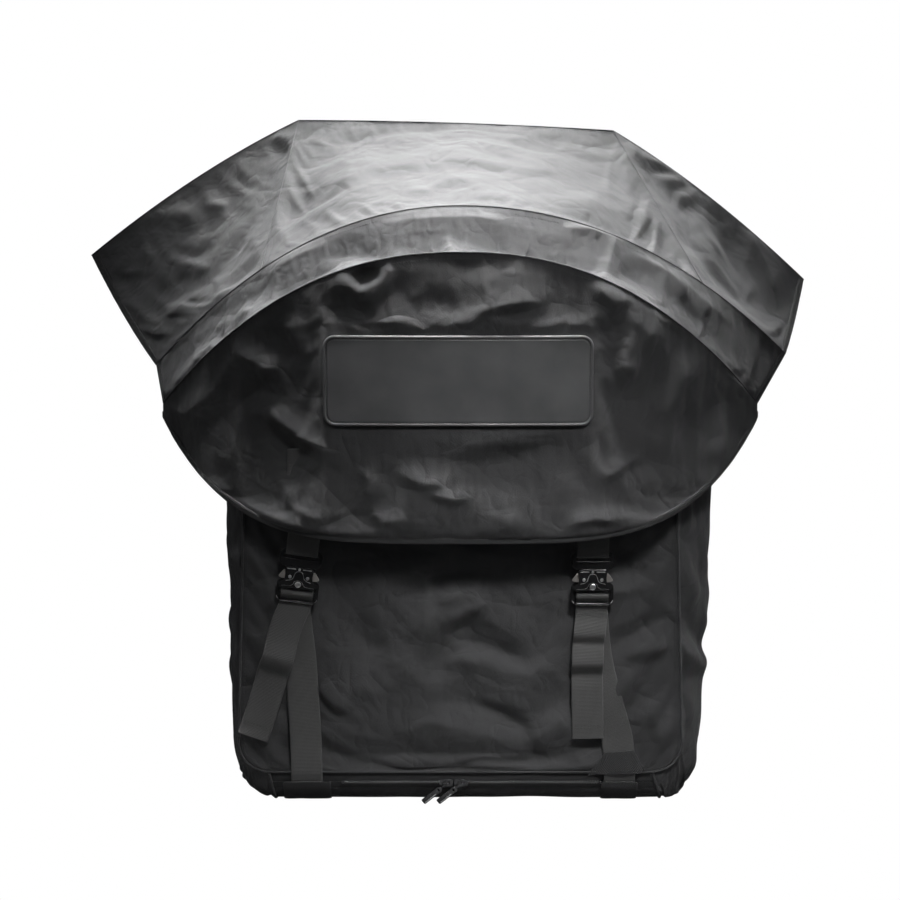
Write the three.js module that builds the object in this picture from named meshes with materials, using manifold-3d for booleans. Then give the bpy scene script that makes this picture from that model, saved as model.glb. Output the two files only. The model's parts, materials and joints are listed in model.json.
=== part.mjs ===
// Canvas spare wheel bag: an open-topped body under a hooded lid, held by two webbing straps with metal buckles.
// Millimetres, +Z up. The bag stands on its base at z = 0, its front faces -Y, and x = 0 is its middle.
import * as THREE from 'three';
import Module from 'manifold-3d';

const wasm = await Module();
wasm.setup();
const { Manifold } = wasm;

// Cloth, webbing and seams
const canvas = 1.6;
const seamGap = 0.36;
const lieGap = 0.3;
const bindingWidth = 8;
const bindingThickness = 2.8;
const webbingWidth = 38;
const webbingThickness = 1.6;

// Body
const frontY = -139;
const backY = 127;
const backThickness = 2.2;
const frontHalfTop = 252;
const frontHalfBottom = 268;
const sideHalfLeft = 290;
const sideHalfRight = 309;
const sideMiddleY = -25;
const backHalf = 275;
const frontSeamHeight = 42;
const baseFrontY = -104;
const frontCorner = 36;
const outerCorner = 66;
const mouthFront = 480;
const mouthBack = 690;
const frontSwell = 5;
const pipingRadius = 1.6;

// Lid
const peakLeftZ = 813;
const peakRightZ = 800;
const peakLeft = 204;
const peakRight = 194;
const rearBow = 11;
const tipLeftX = 471;
const tipLeftZ = 642;
const tipRightX = 441;
const tipRightZ = 611;
const seamFootLeft = 236;
const seamFootRight = 289;
const ridgeLeft = 374;
const ridgeRight = 400;
const ridgeHeight = 722;
const ridgeEndLeft = 518;
const ridgeEndRight = 532;
const ridgeFrontY = -134;
const ridgeEndY = -6;
const flapHalf = 362;
const flapSeamHeight = 673;
const flapSeamEnd = 476;
const flapFrontY = -192;
const flapEndY = -43;
const hemHeight = 333;
const hemEnd = 459;
const hemSetBack = 6;
const flapSwell = 5;
const topSwell = 10;
const gussetFold = 7;
const crease = 3;
const centreY = 20;
const centreZ = 380;

// Patch on the flap
const patchWidth = 310;
const patchHeight = 105;
const patchCorner = 14;
const patchThickness = 2.6;
const patchX = -3;
const patchZ = 526;

// Zip across the base strip
const zipLeft = -140;
const zipRight = 168;
const zipHeight = 29;
const teethWidth = 4.4;
const teethThickness = 2.4;
const tapeWidth = 9;
const stopLength = 3;
const sliderLength = 17;
const sliderWidth = 10;
const sliderThickness = 2;
const sliderMeet = -8;
const sliderSpace = 1;
const bailHeight = 5;
const bailWire = 1.5;
const bailSpan = 9;
const pullLength = 36;
const pullWidth = 7;
const pullThickness = 1.8;
const pullSlant = 39;

// Buckles
const buckleRightX = 156;
const buckleRightZ = 274;
const buckleRightTilt = 0;
const buckleLeftX = -192;
const buckleLeftZ = 277;
const buckleLeftTilt = 7.4;
const buckleY = -151;
const plateHalf = 25;
const plateBottom = -22.5;
const shoulderHeight = 2;
const neckHalf = 17.5;
const neckTop = 21;
const plateThickness = 2.6;
const coverThickness = 3.4;
const slotHalf = 20.5;
const slotLow = -19.5;
const slotHigh = -4.4;
const barRadius = 3;
const barHeight = -10;
const rivetRadius = 2.1;
const rivetInset = 7;
const rivetZ = 10;
const screwRadius = 3.8;
const headHeight = 1.1;
const leverIn = 13;
const leverOut = 24;
const leverLow = 7.5;
const leverHigh = 17;
const leverThickness = 2;
const leverPress = 3;
const tongueHalf = 25;
const noseHalf = 6.5;
const noseLow = -1;
const tongueShoulder = 23;
const tongueTop = 42;
const tongueBar = 4.5;
const tongueSlot = 5.5;
const tongueLift = 24;

// Straps
const tailLeftEnd = [-249, 88];
const tailLeftKnee = [-220, 178];
const tailRightEnd = [153, 86];
const tailRightKnee = [151, 180];
const strapLeftFoot = -185;
const strapRightFoot = 192;
const loopLeftWidth = 58;
const loopRightWidth = 44;
const lidStrapReach = 95;
const strapLow = 84;
const strapMiddle = 130;
const strapHigh = 180;
const tailWave = 5;
const strapSlack = 1.3;

const group = new THREE.Group();
const centre = new THREE.Vector3(0, centreY, centreZ);
const lerp = THREE.MathUtils.lerp;
const clamp = THREE.MathUtils.clamp;
const ease = (a) => a * a * (3 - 2 * a);

// Slack cloth: gentle folds that die away towards the seams, u and v running from 0 to 1 between them
function slack(u, v, seed) {
  const fade = Math.min(1, 5 * u * (1 - u)) * Math.min(1, 5 * v * (1 - v));
  const long = Math.sin(9 * u + 4 * v + seed) + 0.7 * Math.sin(14 * v - 7 * u + 2.3 * seed);
  const short = 0.5 * Math.sin(21 * u + 5 * v + 1.7 * seed) + 0.4 * Math.sin(6 * u - 23 * v + seed);
  return crease * fade * (long + short) * 0.5;
}
const pushIn = (p, distance) => p.addScaledVector(centre.clone().sub(p).normalize(), distance);

// One mesh from vertices and triangles
function addMesh(name, points, faces, look, into = group) {
  const geometry = new THREE.BufferGeometry();
  const flat = [];
  for (const p of points) flat.push(p.x, p.y, p.z);
  geometry.setAttribute('position', new THREE.Float32BufferAttribute(flat, 3));
  geometry.setIndex(faces.flat());
  geometry.computeVertexNormals();
  const mesh = new THREE.Mesh(geometry, look());
  mesh.name = name;
  into.add(mesh);
  return mesh;
}

const material = (color, roughness, metalness) => () => new THREE.MeshStandardMaterial({ color, roughness, metalness });
const canvasLook = material(0x2b2b2c, 0.85, 0);
const tapeLook = material(0x1c1c1d, 0.8, 0);
const webbingLook = material(0x2a2928, 0.75, 0);
const patchLook = material(0x3c3c3e, 0.5, 0);
const metalLook = material(0x1b1b1d, 0.35, 0.8);
const brightLook = material(0xb9babc, 0.3, 1);
const leverLook = material(0x77787a, 0.4, 0.9);
const zipLook = material(0x171718, 0.55, 0);

// Signed volume, to turn a solid's faces outward
function volumeOf(points, faces) {
  let sum = 0;
  for (const [a, b, c] of faces) sum += points[a].dot(points[b].clone().cross(points[c]));
  return sum / 6;
}

// A closed solid between two grids of the same size
function slab(name, outer, inner, look, into) {
  const rows = outer.length;
  const columns = outer[0].length;
  const points = [...outer.flat(), ...inner.flat()];
  const half = rows * columns;
  const at = (i, j, side) => side * half + i * columns + j;
  const faces = [];
  for (let i = 0; i < rows - 1; i++) {
    for (let j = 0; j < columns - 1; j++) {
      faces.push([at(i, j, 0), at(i + 1, j, 0), at(i + 1, j + 1, 0)]);
      faces.push([at(i, j, 0), at(i + 1, j + 1, 0), at(i, j + 1, 0)]);
      faces.push([at(i, j, 1), at(i + 1, j + 1, 1), at(i + 1, j, 1)]);
      faces.push([at(i, j, 1), at(i, j + 1, 1), at(i + 1, j + 1, 1)]);
    }
  }
  const rim = [];
  for (let i = 0; i < rows; i++) rim.push([i, 0]);
  for (let j = 1; j < columns; j++) rim.push([rows - 1, j]);
  for (let i = rows - 2; i >= 0; i--) rim.push([i, columns - 1]);
  for (let j = columns - 2; j > 0; j--) rim.push([0, j]);
  rim.forEach(([i, j], k) => {
    const [m, n] = rim[(k + 1) % rim.length];
    faces.push([at(i, j, 0), at(i, j, 1), at(m, n, 1)]);
    faces.push([at(i, j, 0), at(m, n, 1), at(m, n, 0)]);
  });
  const outward = volumeOf(points, faces) < 0 ? faces.map(([a, b, c]) => [a, c, b]) : faces;
  return addMesh(name, points, outward, look, into);
}

// Points of a surface, with each open side drawn back by half a seam
function gridOf(surface, us, vs, back = [1, 1, 1, 1]) {
  const grid = us.map((u) => vs.map((v) => surface(u, v)));
  const draw = (p, q, share) => p.add(q.clone().sub(p).setLength(share * seamGap / 2));
  const last = grid.length - 1;
  const end = vs.length - 1;
  for (let j = 0; j <= end; j++) {
    draw(grid[0][j], grid[1][j], back[0]);
    draw(grid[last][j], grid[last - 1][j], back[1]);
  }
  for (let i = 0; i <= last; i++) {
    draw(grid[i][0], grid[i][1], back[2]);
    draw(grid[i][end], grid[i][end - 1], back[3]);
  }
  return grid;
}

const steps = (from, to, count) => Array.from({ length: count + 1 }, (_, i) => lerp(from, to, i / count));
const towards = (thickness) => (p) => p.clone().add(centre.clone().sub(p).setLength(thickness));
const inward = (grid, thickness) => grid.map((row) => row.map(towards(thickness)));

function cloth(name, surface, us, vs, look = canvasLook, thickness = canvas, back) {
  const grid = gridOf(surface, us, vs, back);
  return slab(name, grid, inward(grid, thickness), look);
}

// Surface through four edges that share their corners: two run along u, two along v
function patchOf(low, high, left, right) {
  return (u, v) => {
    const p = low(u).multiplyScalar(1 - v).addScaledVector(high(u), v);
    p.addScaledVector(left(v), 1 - u).addScaledVector(right(v), u);
    p.addScaledVector(low(0), -(1 - u) * (1 - v)).addScaledVector(low(1), -u * (1 - v));
    return p.addScaledVector(high(0), -(1 - u) * v).addScaledVector(high(1), -u * v);
  };
}

const vec = (x, y, z) => new THREE.Vector3(x, y, z);
const line = (a, b, sag = vec(0, 0, 0)) => (t) => a.clone().lerp(b, t).addScaledVector(sag, 4 * t * (1 - t));

// Front panel: half width at a height, and the panel's face
function frontHalf(z) {
  const above = Math.max(z, frontSeamHeight + frontCorner);
  const half = lerp(frontHalfBottom, frontHalfTop, clamp((above - frontSeamHeight) / (mouthFront - frontSeamHeight), 0, 1));
  const drop = frontCorner - (z - frontSeamHeight);
  return drop > 0 ? half - frontCorner + Math.sqrt(Math.max(0, frontCorner ** 2 - drop ** 2)) : half;
}
function frontFace(x, z) {
  const across = clamp(1 - (x / frontHalf(z)) ** 2, 0, 1);
  const up = Math.sin(Math.PI * clamp((z - frontSeamHeight) / (mouthFront - frontSeamHeight), 0, 1));
  const share = (z - frontSeamHeight) / (mouthFront - frontSeamHeight);
  return frontY - frontSwell * across * up - slack(0.5 + x / (2 * frontHalf(z)), clamp(share, 0, 1), 1);
}
const cornerTurns = [1, 0.75, 0.5, 0.25];
const cornerRows = cornerTurns.map((a) => frontSeamHeight + frontCorner * (1 - Math.sin(a * Math.PI / 2)));
const panelRows = [...cornerRows, ...steps(frontSeamHeight + frontCorner, mouthFront, 9)];
const panelPoint = (u, z) => vec(u * frontHalf(z), frontFace(u * frontHalf(z), z), z);
cloth('front_panel', panelPoint, steps(-1, 1, 16), panelRows);

// Band round the body: down one side, round the lower corner and along the base
const mouthAt = (y) => lerp(mouthFront, mouthBack, ease(clamp((y - sideMiddleY) / (backY - sideMiddleY), 0, 1)));
function bandPoint(side, t, s) {
  const bow = s <= 0.5 ? Math.sin(s * Math.PI) : 1;
  const rest = s <= 0.5 ? 0 : (s - 0.5) * 2;
  const onSide = t <= 1 ? 1 : t < 2 ? 2 - t : 0;
  const turnY = lerp(baseFrontY, sideMiddleY, ease(onSide));
  const y = s <= 0.5 ? frontY + (turnY - frontY) * (1 - Math.cos(s * Math.PI)) : lerp(turnY, backY, rest);
  const top = t <= 1 ? mouthAt(y) : 0;
  const straight = (half, low, corner, atTop) => {
    if (t <= 1) return [half(lerp(atTop, low + corner, t)), lerp(atTop, low + corner, t)];
    const angle = (Math.min(t, 2) - 1) * Math.PI / 2;
    const x = half(low + corner) - corner + corner * Math.cos(angle);
    const z = low + corner - corner * Math.sin(angle);
    return t <= 2 ? [x, z] : [(half(low + corner) - corner) * (3 - t), low];
  };
  const front = straight((z) => frontHalf(Math.max(z, frontSeamHeight + frontCorner)), frontSeamHeight, frontCorner, top);
  const widest = straight(() => (side < 0 ? sideHalfLeft : sideHalfRight), 0, outerCorner, top);
  const rear = straight(() => backHalf, 0, outerCorner, top);
  const x = lerp(lerp(front[0], widest[0], bow), rear[0], rest ** 1.5);
  const z = lerp(lerp(front[1], widest[1], bow), rear[1], rest ** 1.5);
  return vec(side * x, y, z);
}
const bandDepth = [0, 0.1, 0.2, 0.3, 0.4, 0.5, 0.67, 0.84, 1];
const sideRows = [...steps(0, 1, 9), 1.25, 1.5, 1.75, 2];
const sidePoint = (side) => (t, s) => pushIn(bandPoint(side, t, s), t < 1 ? 1.5 * slack(t, s, 5 + side) : 0);
cloth('side_gusset_left', sidePoint(-1), sideRows, bandDepth);
cloth('side_gusset_right', sidePoint(1), sideRows, bandDepth);

// Base panel: from under the zip to the back, in one piece
const heightShare = (z) => Math.asin(clamp(1 - z / frontSeamHeight, 0, 1)) / Math.PI;
const basePoint = (t, s) => bandPoint(t < 3 ? -1 : 1, t < 3 ? t : 6 - t, s);
const lowerTapeEdge = heightShare(zipHeight - tapeWidth);
const baseDepth = [lowerTapeEdge, ...bandDepth.filter((s) => s > lowerTapeEdge + 0.04)];
cloth('base_panel', basePoint, steps(2, 4, 10), baseDepth);

// Zip tapes meet between the front seam and the base panel, with the teeth lying on them
const tapeMeet = heightShare(zipHeight);
cloth('zip_tape_upper', basePoint, steps(2, 4, 10), [0, tapeMeet], tapeLook);
cloth('zip_tape_lower', basePoint, steps(2, 4, 10), [tapeMeet, lowerTapeEdge], tapeLook);

// A box-shaped piece set down at a place
function box(name, width, depth, height, place, look, into = group) {
  const mesh = new THREE.Mesh(new THREE.BoxGeometry(width, depth, height), look());
  mesh.name = name;
  mesh.position.copy(place);
  into.add(mesh);
  return mesh;
}
const zipY = bandPoint(-1, 2.5, heightShare(zipHeight + teethWidth / 2)).y - lieGap - teethThickness / 2;
const teethHeight = teethWidth - seamGap;
const chainLength = zipRight - zipLeft;
box('zip_teeth', chainLength, teethThickness, teethHeight, vec((zipLeft + zipRight) / 2, zipY, zipHeight), zipLook);
const stopPlace = (x) => vec(x, zipY, zipHeight);
box('zip_stop_left', stopLength, teethThickness, teethHeight, stopPlace(zipLeft - stopLength / 2 - lieGap), metalLook);
box('zip_stop_right', stopLength, teethThickness, teethHeight, stopPlace(zipRight + stopLength / 2 + lieGap), metalLook);

// Hard pieces are joined and cut as solids
function hard(name, solid, look, into = group) {
  const got = solid.getMesh();
  const geometry = new THREE.BufferGeometry();
  geometry.setAttribute('position', new THREE.BufferAttribute(got.vertProperties, 3));
  geometry.setIndex(new THREE.BufferAttribute(got.triVerts, 1));
  geometry.computeVertexNormals();
  const mesh = new THREE.Mesh(geometry, look());
  mesh.name = name;
  into.add(mesh);
  return mesh;
}

// A flat outline in x and z, thickened backwards from its front face
function plate(outline, face, thickness) {
  return Manifold.extrude([outline], thickness).rotate([90, 0, 0]).translate([0, face + thickness, 0]);
}
function disc(radius, height, face, x, z, sides = 16) {
  const solid = Manifold.cylinder(height, radius, radius * 0.82, sides);
  return solid.rotate([90, 0, 0]).translate([x, face, z]);
}
const rect = (x0, z0, x1, z1) => [[x0, z0], [x1, z0], [x1, z1], [x0, z1]];
const mirrored = (half) => [...half, ...half.map(([x, z]) => [-x, z]).reverse()];

// Band of even width and thickness along a route; each stop holds its middle and its side direction
function ribbon(name, stops, width, thickness, look, into = group) {
  const outer = [];
  const inner = [];
  stops.forEach(([point, side], i) => {
    const before = stops[Math.max(0, i - 1)][0];
    const after = stops[Math.min(stops.length - 1, i + 1)][0];
    const run = after.clone().sub(before).normalize();
    const across = side.clone().addScaledVector(run, -side.dot(run)).normalize();
    const face = run.clone().cross(across).multiplyScalar(thickness / 2);
    const row = (sign) => [-1, 1].map((k) => point.clone().addScaledVector(across, k * width / 2).addScaledVector(face, sign));
    outer.push(row(1));
    inner.push(row(-1));
  });
  return slab(name, outer, inner, look, into);
}

// Sliders: a plate in front of the teeth with a bail on it, and a pull hung on the bail
const chainFront = zipY - teethThickness / 2;
const sliderFace = chainFront - lieGap - sliderThickness;
const sliderNose = sliderWidth * 0.34;
const bailBar = sliderFace - bailHeight + bailWire / 2;
const eyeHole = bailWire * 0.71 + lieGap;
const eyeRim = eyeHole + 1.1;
const neckStart = eyeRim + 1.8;
for (const [word, side] of [['left', -1], ['right', 1]]) {
  const carrier = new THREE.Group();
  carrier.position.set(sliderMeet + side * (sliderSpace + sliderLength) / 2, 0, zipHeight);
  group.add(carrier);
  const long = sliderLength / 2;
  const wedge = side < 0
    ? [[-long, -sliderNose], [0, -sliderWidth / 2], [long, -sliderWidth / 2], [long, sliderWidth / 2], [0, sliderWidth / 2], [-long, sliderNose]]
    : [[-long, -sliderWidth / 2], [0, -sliderWidth / 2], [long, -sliderNose], [long, sliderNose], [0, sliderWidth / 2], [-long, sliderWidth / 2]];
  const legs = [-1, 1].map((k) => {
    const at = k * (bailSpan - bailWire) / 2;
    return plate(rect(at - bailWire / 2, -bailWire / 2, at + bailWire / 2, bailWire / 2), sliderFace - bailHeight, bailHeight + 0.4);
  });
  const bar = plate(rect(-bailSpan / 2, -bailWire / 2, bailSpan / 2, bailWire / 2), sliderFace - bailHeight, bailWire);
  const slide = Manifold.union([plate(wedge, sliderFace, sliderThickness), ...legs, bar]);
  hard(`zip_slider_${word}`, slide, metalLook, carrier);

  // The pull: an eye round the bail's bar, a narrow neck and a flat tab
  const eye = Manifold.cylinder(bailWire, eyeRim, eyeRim, 14, true).subtract(Manifold.cylinder(bailWire * 2, eyeHole, eyeHole, 14, true));
  const tab = plate([[-pullWidth / 2, -pullLength], [pullWidth / 2, -pullLength], [pullWidth / 2, -9], [1.2, -6.5], [1.2, -neckStart],
    [-1.2, -neckStart], [-1.2, -6.5], [-pullWidth / 2, -9]], -pullThickness / 2, pullThickness);
  const turn = THREE.MathUtils.degToRad(pullSlant);
  const stub = (x, z) => plate(rect(x - 0.8, z - 0.8, x + 0.8, z + 0.8), -pullThickness / 2, pullThickness);
  const elbow = Manifold.hull([stub(0, -eyeRim - 0.6), stub(-neckStart * Math.cos(turn), -neckStart * Math.sin(turn) - 0.2)]);
  const pull = Manifold.union([eye.rotate([0, 90, 0]), stub(0, -eyeRim), elbow, tab.rotate([0, 90 - pullSlant, 0])]);
  hard(`zip_pull_${word}`, pull.translate([0, bailBar, 0]), metalLook, carrier);
}

// Buckles: base plate, two levers, a tongue between the plates, a cover with rivets and a screw, and a bar for the strap
const layer1 = -plateThickness - lieGap;
const layer2 = layer1 - leverThickness - lieGap;
const coverFace = layer2 - coverThickness;
const strapFar = lieGap + webbingThickness / 2;
function buckle(word, x, z, tilt) {
  const place = new THREE.Group();
  place.position.set(x, buckleY, z);
  place.rotation.y = THREE.MathUtils.degToRad(tilt);
  group.add(place);
  const body = mirrored([[plateHalf - 5, plateBottom], [plateHalf, plateBottom + 5], [plateHalf, shoulderHeight], [neckHalf, shoulderHeight + 6],
    [neckHalf, neckTop]]);
  const slot = plate(rect(-slotHalf, slotLow, slotHalf, slotHigh), -plateThickness - 1, plateThickness + 2);
  hard(`buckle_plate_${word}`, plate(body, -plateThickness, plateThickness).subtract(slot), metalLook, place);
  const coverLow = slotHigh + 1;
  const coverShape = mirrored([[plateHalf - 6, coverLow], [plateHalf - 2, coverLow + 2.4], [plateHalf - 2, shoulderHeight], [neckHalf - 4, 6],
    [neckHalf - 7, 12], [neckHalf - 7, neckTop]]);
  hard(`buckle_cover_${word}`, plate(coverShape, coverFace, coverThickness), metalLook, place);
  hard(`buckle_screw_${word}`, disc(screwRadius, headHeight, coverFace - lieGap, 0, 1.5, 20), brightLook, place);
  for (const [half, side] of [['left', -1], ['right', 1]]) {
    const lever = [[leverIn, leverLow - 1], [leverOut - 4, leverLow - 1], [leverOut, leverLow + 0.5], [leverOut, leverLow + 2], [neckHalf + 0.7, leverHigh],
      [leverIn, leverHigh]].map(([u, w]) => [side * u, w]);
    hard(`buckle_lever_${word}_${half}`, plate(side < 0 ? lever.reverse() : lever, layer1 - leverThickness, leverThickness), leverLook, place);
    hard(`buckle_rivet_${word}_${half}`, disc(rivetRadius, headHeight, coverFace - lieGap, side * (neckHalf - rivetInset), rivetZ, 12), brightLook, place);
  }
  const outline = mirrored([[noseHalf, noseLow], [noseHalf, neckTop - 3], [neckHalf - 5, neckTop + 0.5], [tongueHalf - 4, tongueShoulder - 1], [tongueHalf, tongueShoulder + 3],
    [tongueHalf, tongueTop - 3], [tongueHalf - 3, tongueTop]]);
  const opening = rect(-slotHalf, tongueTop - tongueBar - tongueSlot, slotHalf, tongueTop - tongueBar);
  const tongueFace = layer1 - leverThickness;
  const tongue = plate(outline, tongueFace, leverThickness).subtract(plate(opening, tongueFace - 1, leverThickness + 2));
  hard(`buckle_tongue_${word}`, tongue, metalLook, place);
  const rod = Manifold.cylinder(2 * slotHalf - 2 * lieGap, barRadius, barRadius, 14, true).rotate([0, 90, 0]);
  hard(`buckle_bar_${word}`, rod.translate([0, -plateThickness / 2, barHeight]), metalLook, place);
  place.updateMatrixWorld();
  return place;
}
const holders = { right: buckle('right', buckleRightX, buckleRightZ, buckleRightTilt), left: buckle('left', buckleLeftX, buckleLeftZ, buckleLeftTilt) };
const inBuckle = (word, u, y, w) => holders[word].localToWorld(vec(u, y, w));
const acrossBuckle = (word) => inBuckle(word, 1, 0, 0).sub(inBuckle(word, 0, 0, 0));

// Long straps: up from the base, behind the buckle, round its bar and down again to a sewn end
const along = vec(1, 0, 0);
const onPanel = (x, z, lift) => vec(x, frontFace(x, z) - lift, z);
function onStrip(x, z, lift) {
  const [p, above, below] = [z, z + 0.5, z - 0.5].map((h) => bandPoint(1, 2.5, heightShare(h)));
  const out = vec(0, below.z - above.z, above.y - below.y).normalize();
  return vec(x, p.y + out.y * lift, p.z + out.z * lift);
}
function longStrap(word, foot, knee, end) {
  const side = acrossBuckle(word);
  const stops = [];
  const x = holders[word].position.x;
  const footLift = strapFar + 2 * pipingRadius + lieGap;
  stops.push([onStrip(foot, 10, strapFar), along]);
  stops.push([onStrip(foot, 17, strapFar), along]);
  stops.push([onStrip(foot, 25, strapFar + pipingRadius), along]);
  stops.push([vec(foot, frontY - footLift, frontSeamHeight - 3), along]);
  stops.push([onPanel(foot, frontSeamHeight + 8, footLift), along]);
  stops.push([onPanel(lerp(foot, x, 0.1), strapLow, strapFar + strapSlack), along]);
  stops.push([onPanel(lerp(foot, x, 0.45), strapMiddle, strapFar + strapSlack), along]);
  stops.push([onPanel(lerp(foot, x, 0.8), strapHigh, strapFar + strapSlack), along.clone().lerp(side, 0.5)]);
  const back = webbingThickness + lieGap + strapFar;
  for (const w of [plateBottom - 10, plateBottom + 2, barHeight - 2]) stops.push([inBuckle(word, 0, back, w), side]);
  const wrap = barRadius + strapFar;
  for (const turn of [30, 60, 90, 120, 150, 180, 215]) {
    const a = THREE.MathUtils.degToRad(turn);
    stops.push([inBuckle(word, 0, -plateThickness / 2 + wrap * Math.cos(a), barHeight + wrap * Math.sin(a)), side]);
  }
  stops.push([inBuckle(word, 0, -plateThickness / 2 - 0.4, slotLow + 4), side]);
  stops.push([inBuckle(word, 0, strapFar - 0.2, slotLow + 0.6), side]);
  stops.push([inBuckle(word, 0, strapFar, plateBottom), side]);
  return [stops, side];
}

const tailLift = webbingThickness + lieGap + strapFar;
function strapWithTail(word, foot, knee, end) {
  const [stops, side] = longStrap(word, foot);
  const low = inBuckle(word, 0, strapFar, plateBottom);
  const run = vec(end[0] - knee[0], 0, end[1] - knee[1]).normalize();
  const lean = vec(-run.z, 0, run.x);
  const gap = holders[word].position.z + plateBottom - knee[1];
  stops.push([vec(lerp(low.x, knee[0], 0.25), low.y - 2.2, low.z - 0.25 * gap), side.clone().lerp(lean, 0.3)]);
  stops.push([vec(lerp(low.x, knee[0], 0.7), low.y - 6, low.z - 0.7 * gap), side.clone().lerp(lean, 0.7)]);
  for (const [a, wave] of [[0, 1], [0.3, 0.3], [0.62, 0.7], [0.85, 0.4], [1, 0.6]]) {
    const x = lerp(knee[0], end[0], a);
    const z = lerp(knee[1], end[1], a);
    stops.push([onPanel(x, z, tailLift + 1 + tailWave * wave), lean]);
  }
  return ribbon(`strap_${word}`, stops, webbingWidth, webbingThickness, webbingLook);
}
strapWithTail('left', strapLeftFoot, tailLeftKnee, tailLeftEnd);
strapWithTail('right', strapRightFoot, tailRightKnee, tailRightEnd);

// Loops over the strap ends at the base
for (const [word, foot, width] of [['left', strapLeftFoot, loopLeftWidth], ['right', strapRightFoot, loopRightWidth]]) {
  const over = strapFar + webbingThickness + lieGap + 0.3;
  const stops = [[33, pipingRadius * 2 + 0.8], [29, pipingRadius * 2], [24, pipingRadius + 0.4], [17, 0], [10, 0], [5, -0.6]]
    .map(([z, more]) => [onStrip(foot, z, over + more), along]);
  ribbon(`base_loop_${word}`, stops, width, webbingThickness, webbingLook);
}

// Lid edges: the ridge between top and gusset, the seam between gusset and flap, the hem, and the rear line
const bend = (share, power) => 1 - Math.abs(share) ** power;
function ridgePoint(u) {
  const half = u < 0 ? ridgeLeft : ridgeRight;
  const low = u < 0 ? ridgeEndLeft : ridgeEndRight;
  return vec(u * half, lerp(ridgeEndY, ridgeFrontY, bend(u, 2.5)), lerp(low, ridgeHeight, bend(u, 2.08)));
}
const flapSeamPoint = (u) => vec(u * flapHalf, lerp(flapEndY, flapFrontY, bend(u, 4)), lerp(flapSeamEnd, flapSeamHeight, bend(u, 2.3)));
const hemPoint = (u) => vec(u * flapHalf, lerp(flapEndY, flapFrontY + hemSetBack, bend(u, 4.5)), lerp(hemEnd, hemHeight, bend(u, 4)));
function flapPoint(u, v) {
  const p = flapSeamPoint(u).lerp(hemPoint(u), v);
  const past = Math.max(Math.abs(p.x - patchX) - patchWidth / 2, Math.abs(p.z - patchZ) - patchHeight / 2);
  const free = ease(clamp((past - patchCorner) / (3 * patchCorner), 0, 1));
  p.y -= flapSwell * Math.sin(Math.PI * v) * (1 - u * u) + free * slack((u + 1) / 2, clamp(v, 0, 1), 2);
  return p;
}
const bindingShare = (u) => 1 - bindingWidth / flapSeamPoint(u).distanceTo(hemPoint(u));
const footLeft = -seamFootLeft / ridgeLeft;
const footRight = seamFootRight / ridgeRight;

// Every lid piece takes its stations from one list, so that neighbours meet point to point
const boundEnd = (end, foot) => lerp(end, foot, bindingWidth / ridgePoint(end).distanceTo(ridgePoint(foot)));
const inLeft = boundEnd(-1, footLeft);
const inRight = boundEnd(1, footRight);
const lidSteps = [-1, inLeft, ...steps(lerp(inLeft, footLeft, 0.2), footLeft, 4), ...steps(footLeft, footRight, 16).slice(1),
  ...steps(footRight, lerp(inRight, footRight, 0.2), 4).slice(1), inRight, 1];
const stationsOf = (from, to, within = 1e-6) => lidSteps.filter((u) => u >= Math.min(from, to) - within && u <= Math.max(from, to) + within)
  .map((u) => (u - from) / (to - from)).sort((a, b) => a - b);
cloth('lid_flap', (u, v) => flapPoint(u, v * bindingShare(u)), lidSteps, [0, 0.1, 0.22, 0.34, 0.46, 0.58, 0.7, 0.82, 0.92, 1]);
cloth('lid_hem_binding', (u, v) => flapPoint(u, lerp(bindingShare(u), 1, v)), lidSteps, [0, 1], tapeLook, bindingThickness);

// Gusset between ridge and flap seam, hollowed by its fold
function gussetPoint(u, v) {
  const p = ridgePoint(u).lerp(flapSeamPoint(u), v);
  const hollow = gussetFold * Math.sin(Math.PI * v) * Math.sqrt(Math.max(0, 1 - u * u));
  return p.add(centre.clone().sub(p).setLength(hollow || 1e-9));
}
cloth('lid_gusset', gussetPoint, lidSteps, [0, 0.25, 0.5, 0.75, 1]);

// Rear line: the lid's back edge, from the left tip over the two peaks to the right tip
const ridgeTo = (from, to) => (t) => ridgePoint(lerp(from, to, t));
const peaks = [vec(-peakLeft, backY, peakLeftZ), vec(peakRight, backY, peakRightZ)];
const tips = [vec(-tipLeftX, backY, tipLeftZ), vec(tipRightX, backY, tipRightZ)];
const wingSag = vec(0, 0, -7);
const rearLines = [line(tips[0], peaks[0], vec(0, 0, rearBow)), line(tips[1], peaks[1], vec(0, 0, rearBow))];
const topPoint = patchOf(ridgeTo(footLeft, footRight), line(peaks[0], peaks[1], vec(0, 0, 3)),
  line(ridgePoint(footLeft), peaks[0]), line(ridgePoint(footRight), peaks[1]));
cloth('lid_top', (u, v) => {
  const p = topPoint(u, v);
  p.z += topSwell * Math.sin(Math.PI * u) * Math.sin(Math.PI * v);
  return pushIn(p, 1.3 * slack(u, v, 3));
}, stationsOf(footLeft, footRight), steps(0, 1, 9));
const wings = {
  left: patchOf(ridgeTo(-1, footLeft), rearLines[0], line(ridgePoint(-1), tips[0], wingSag), line(ridgePoint(footLeft), peaks[0])),
  right: patchOf(ridgeTo(1, footRight), rearLines[1], line(ridgePoint(1), tips[1], wingSag), line(ridgePoint(footRight), peaks[1])),
};
const wingSteps = { left: stationsOf(-1, footLeft).slice(1), right: stationsOf(1, footRight).slice(1) };
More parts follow.
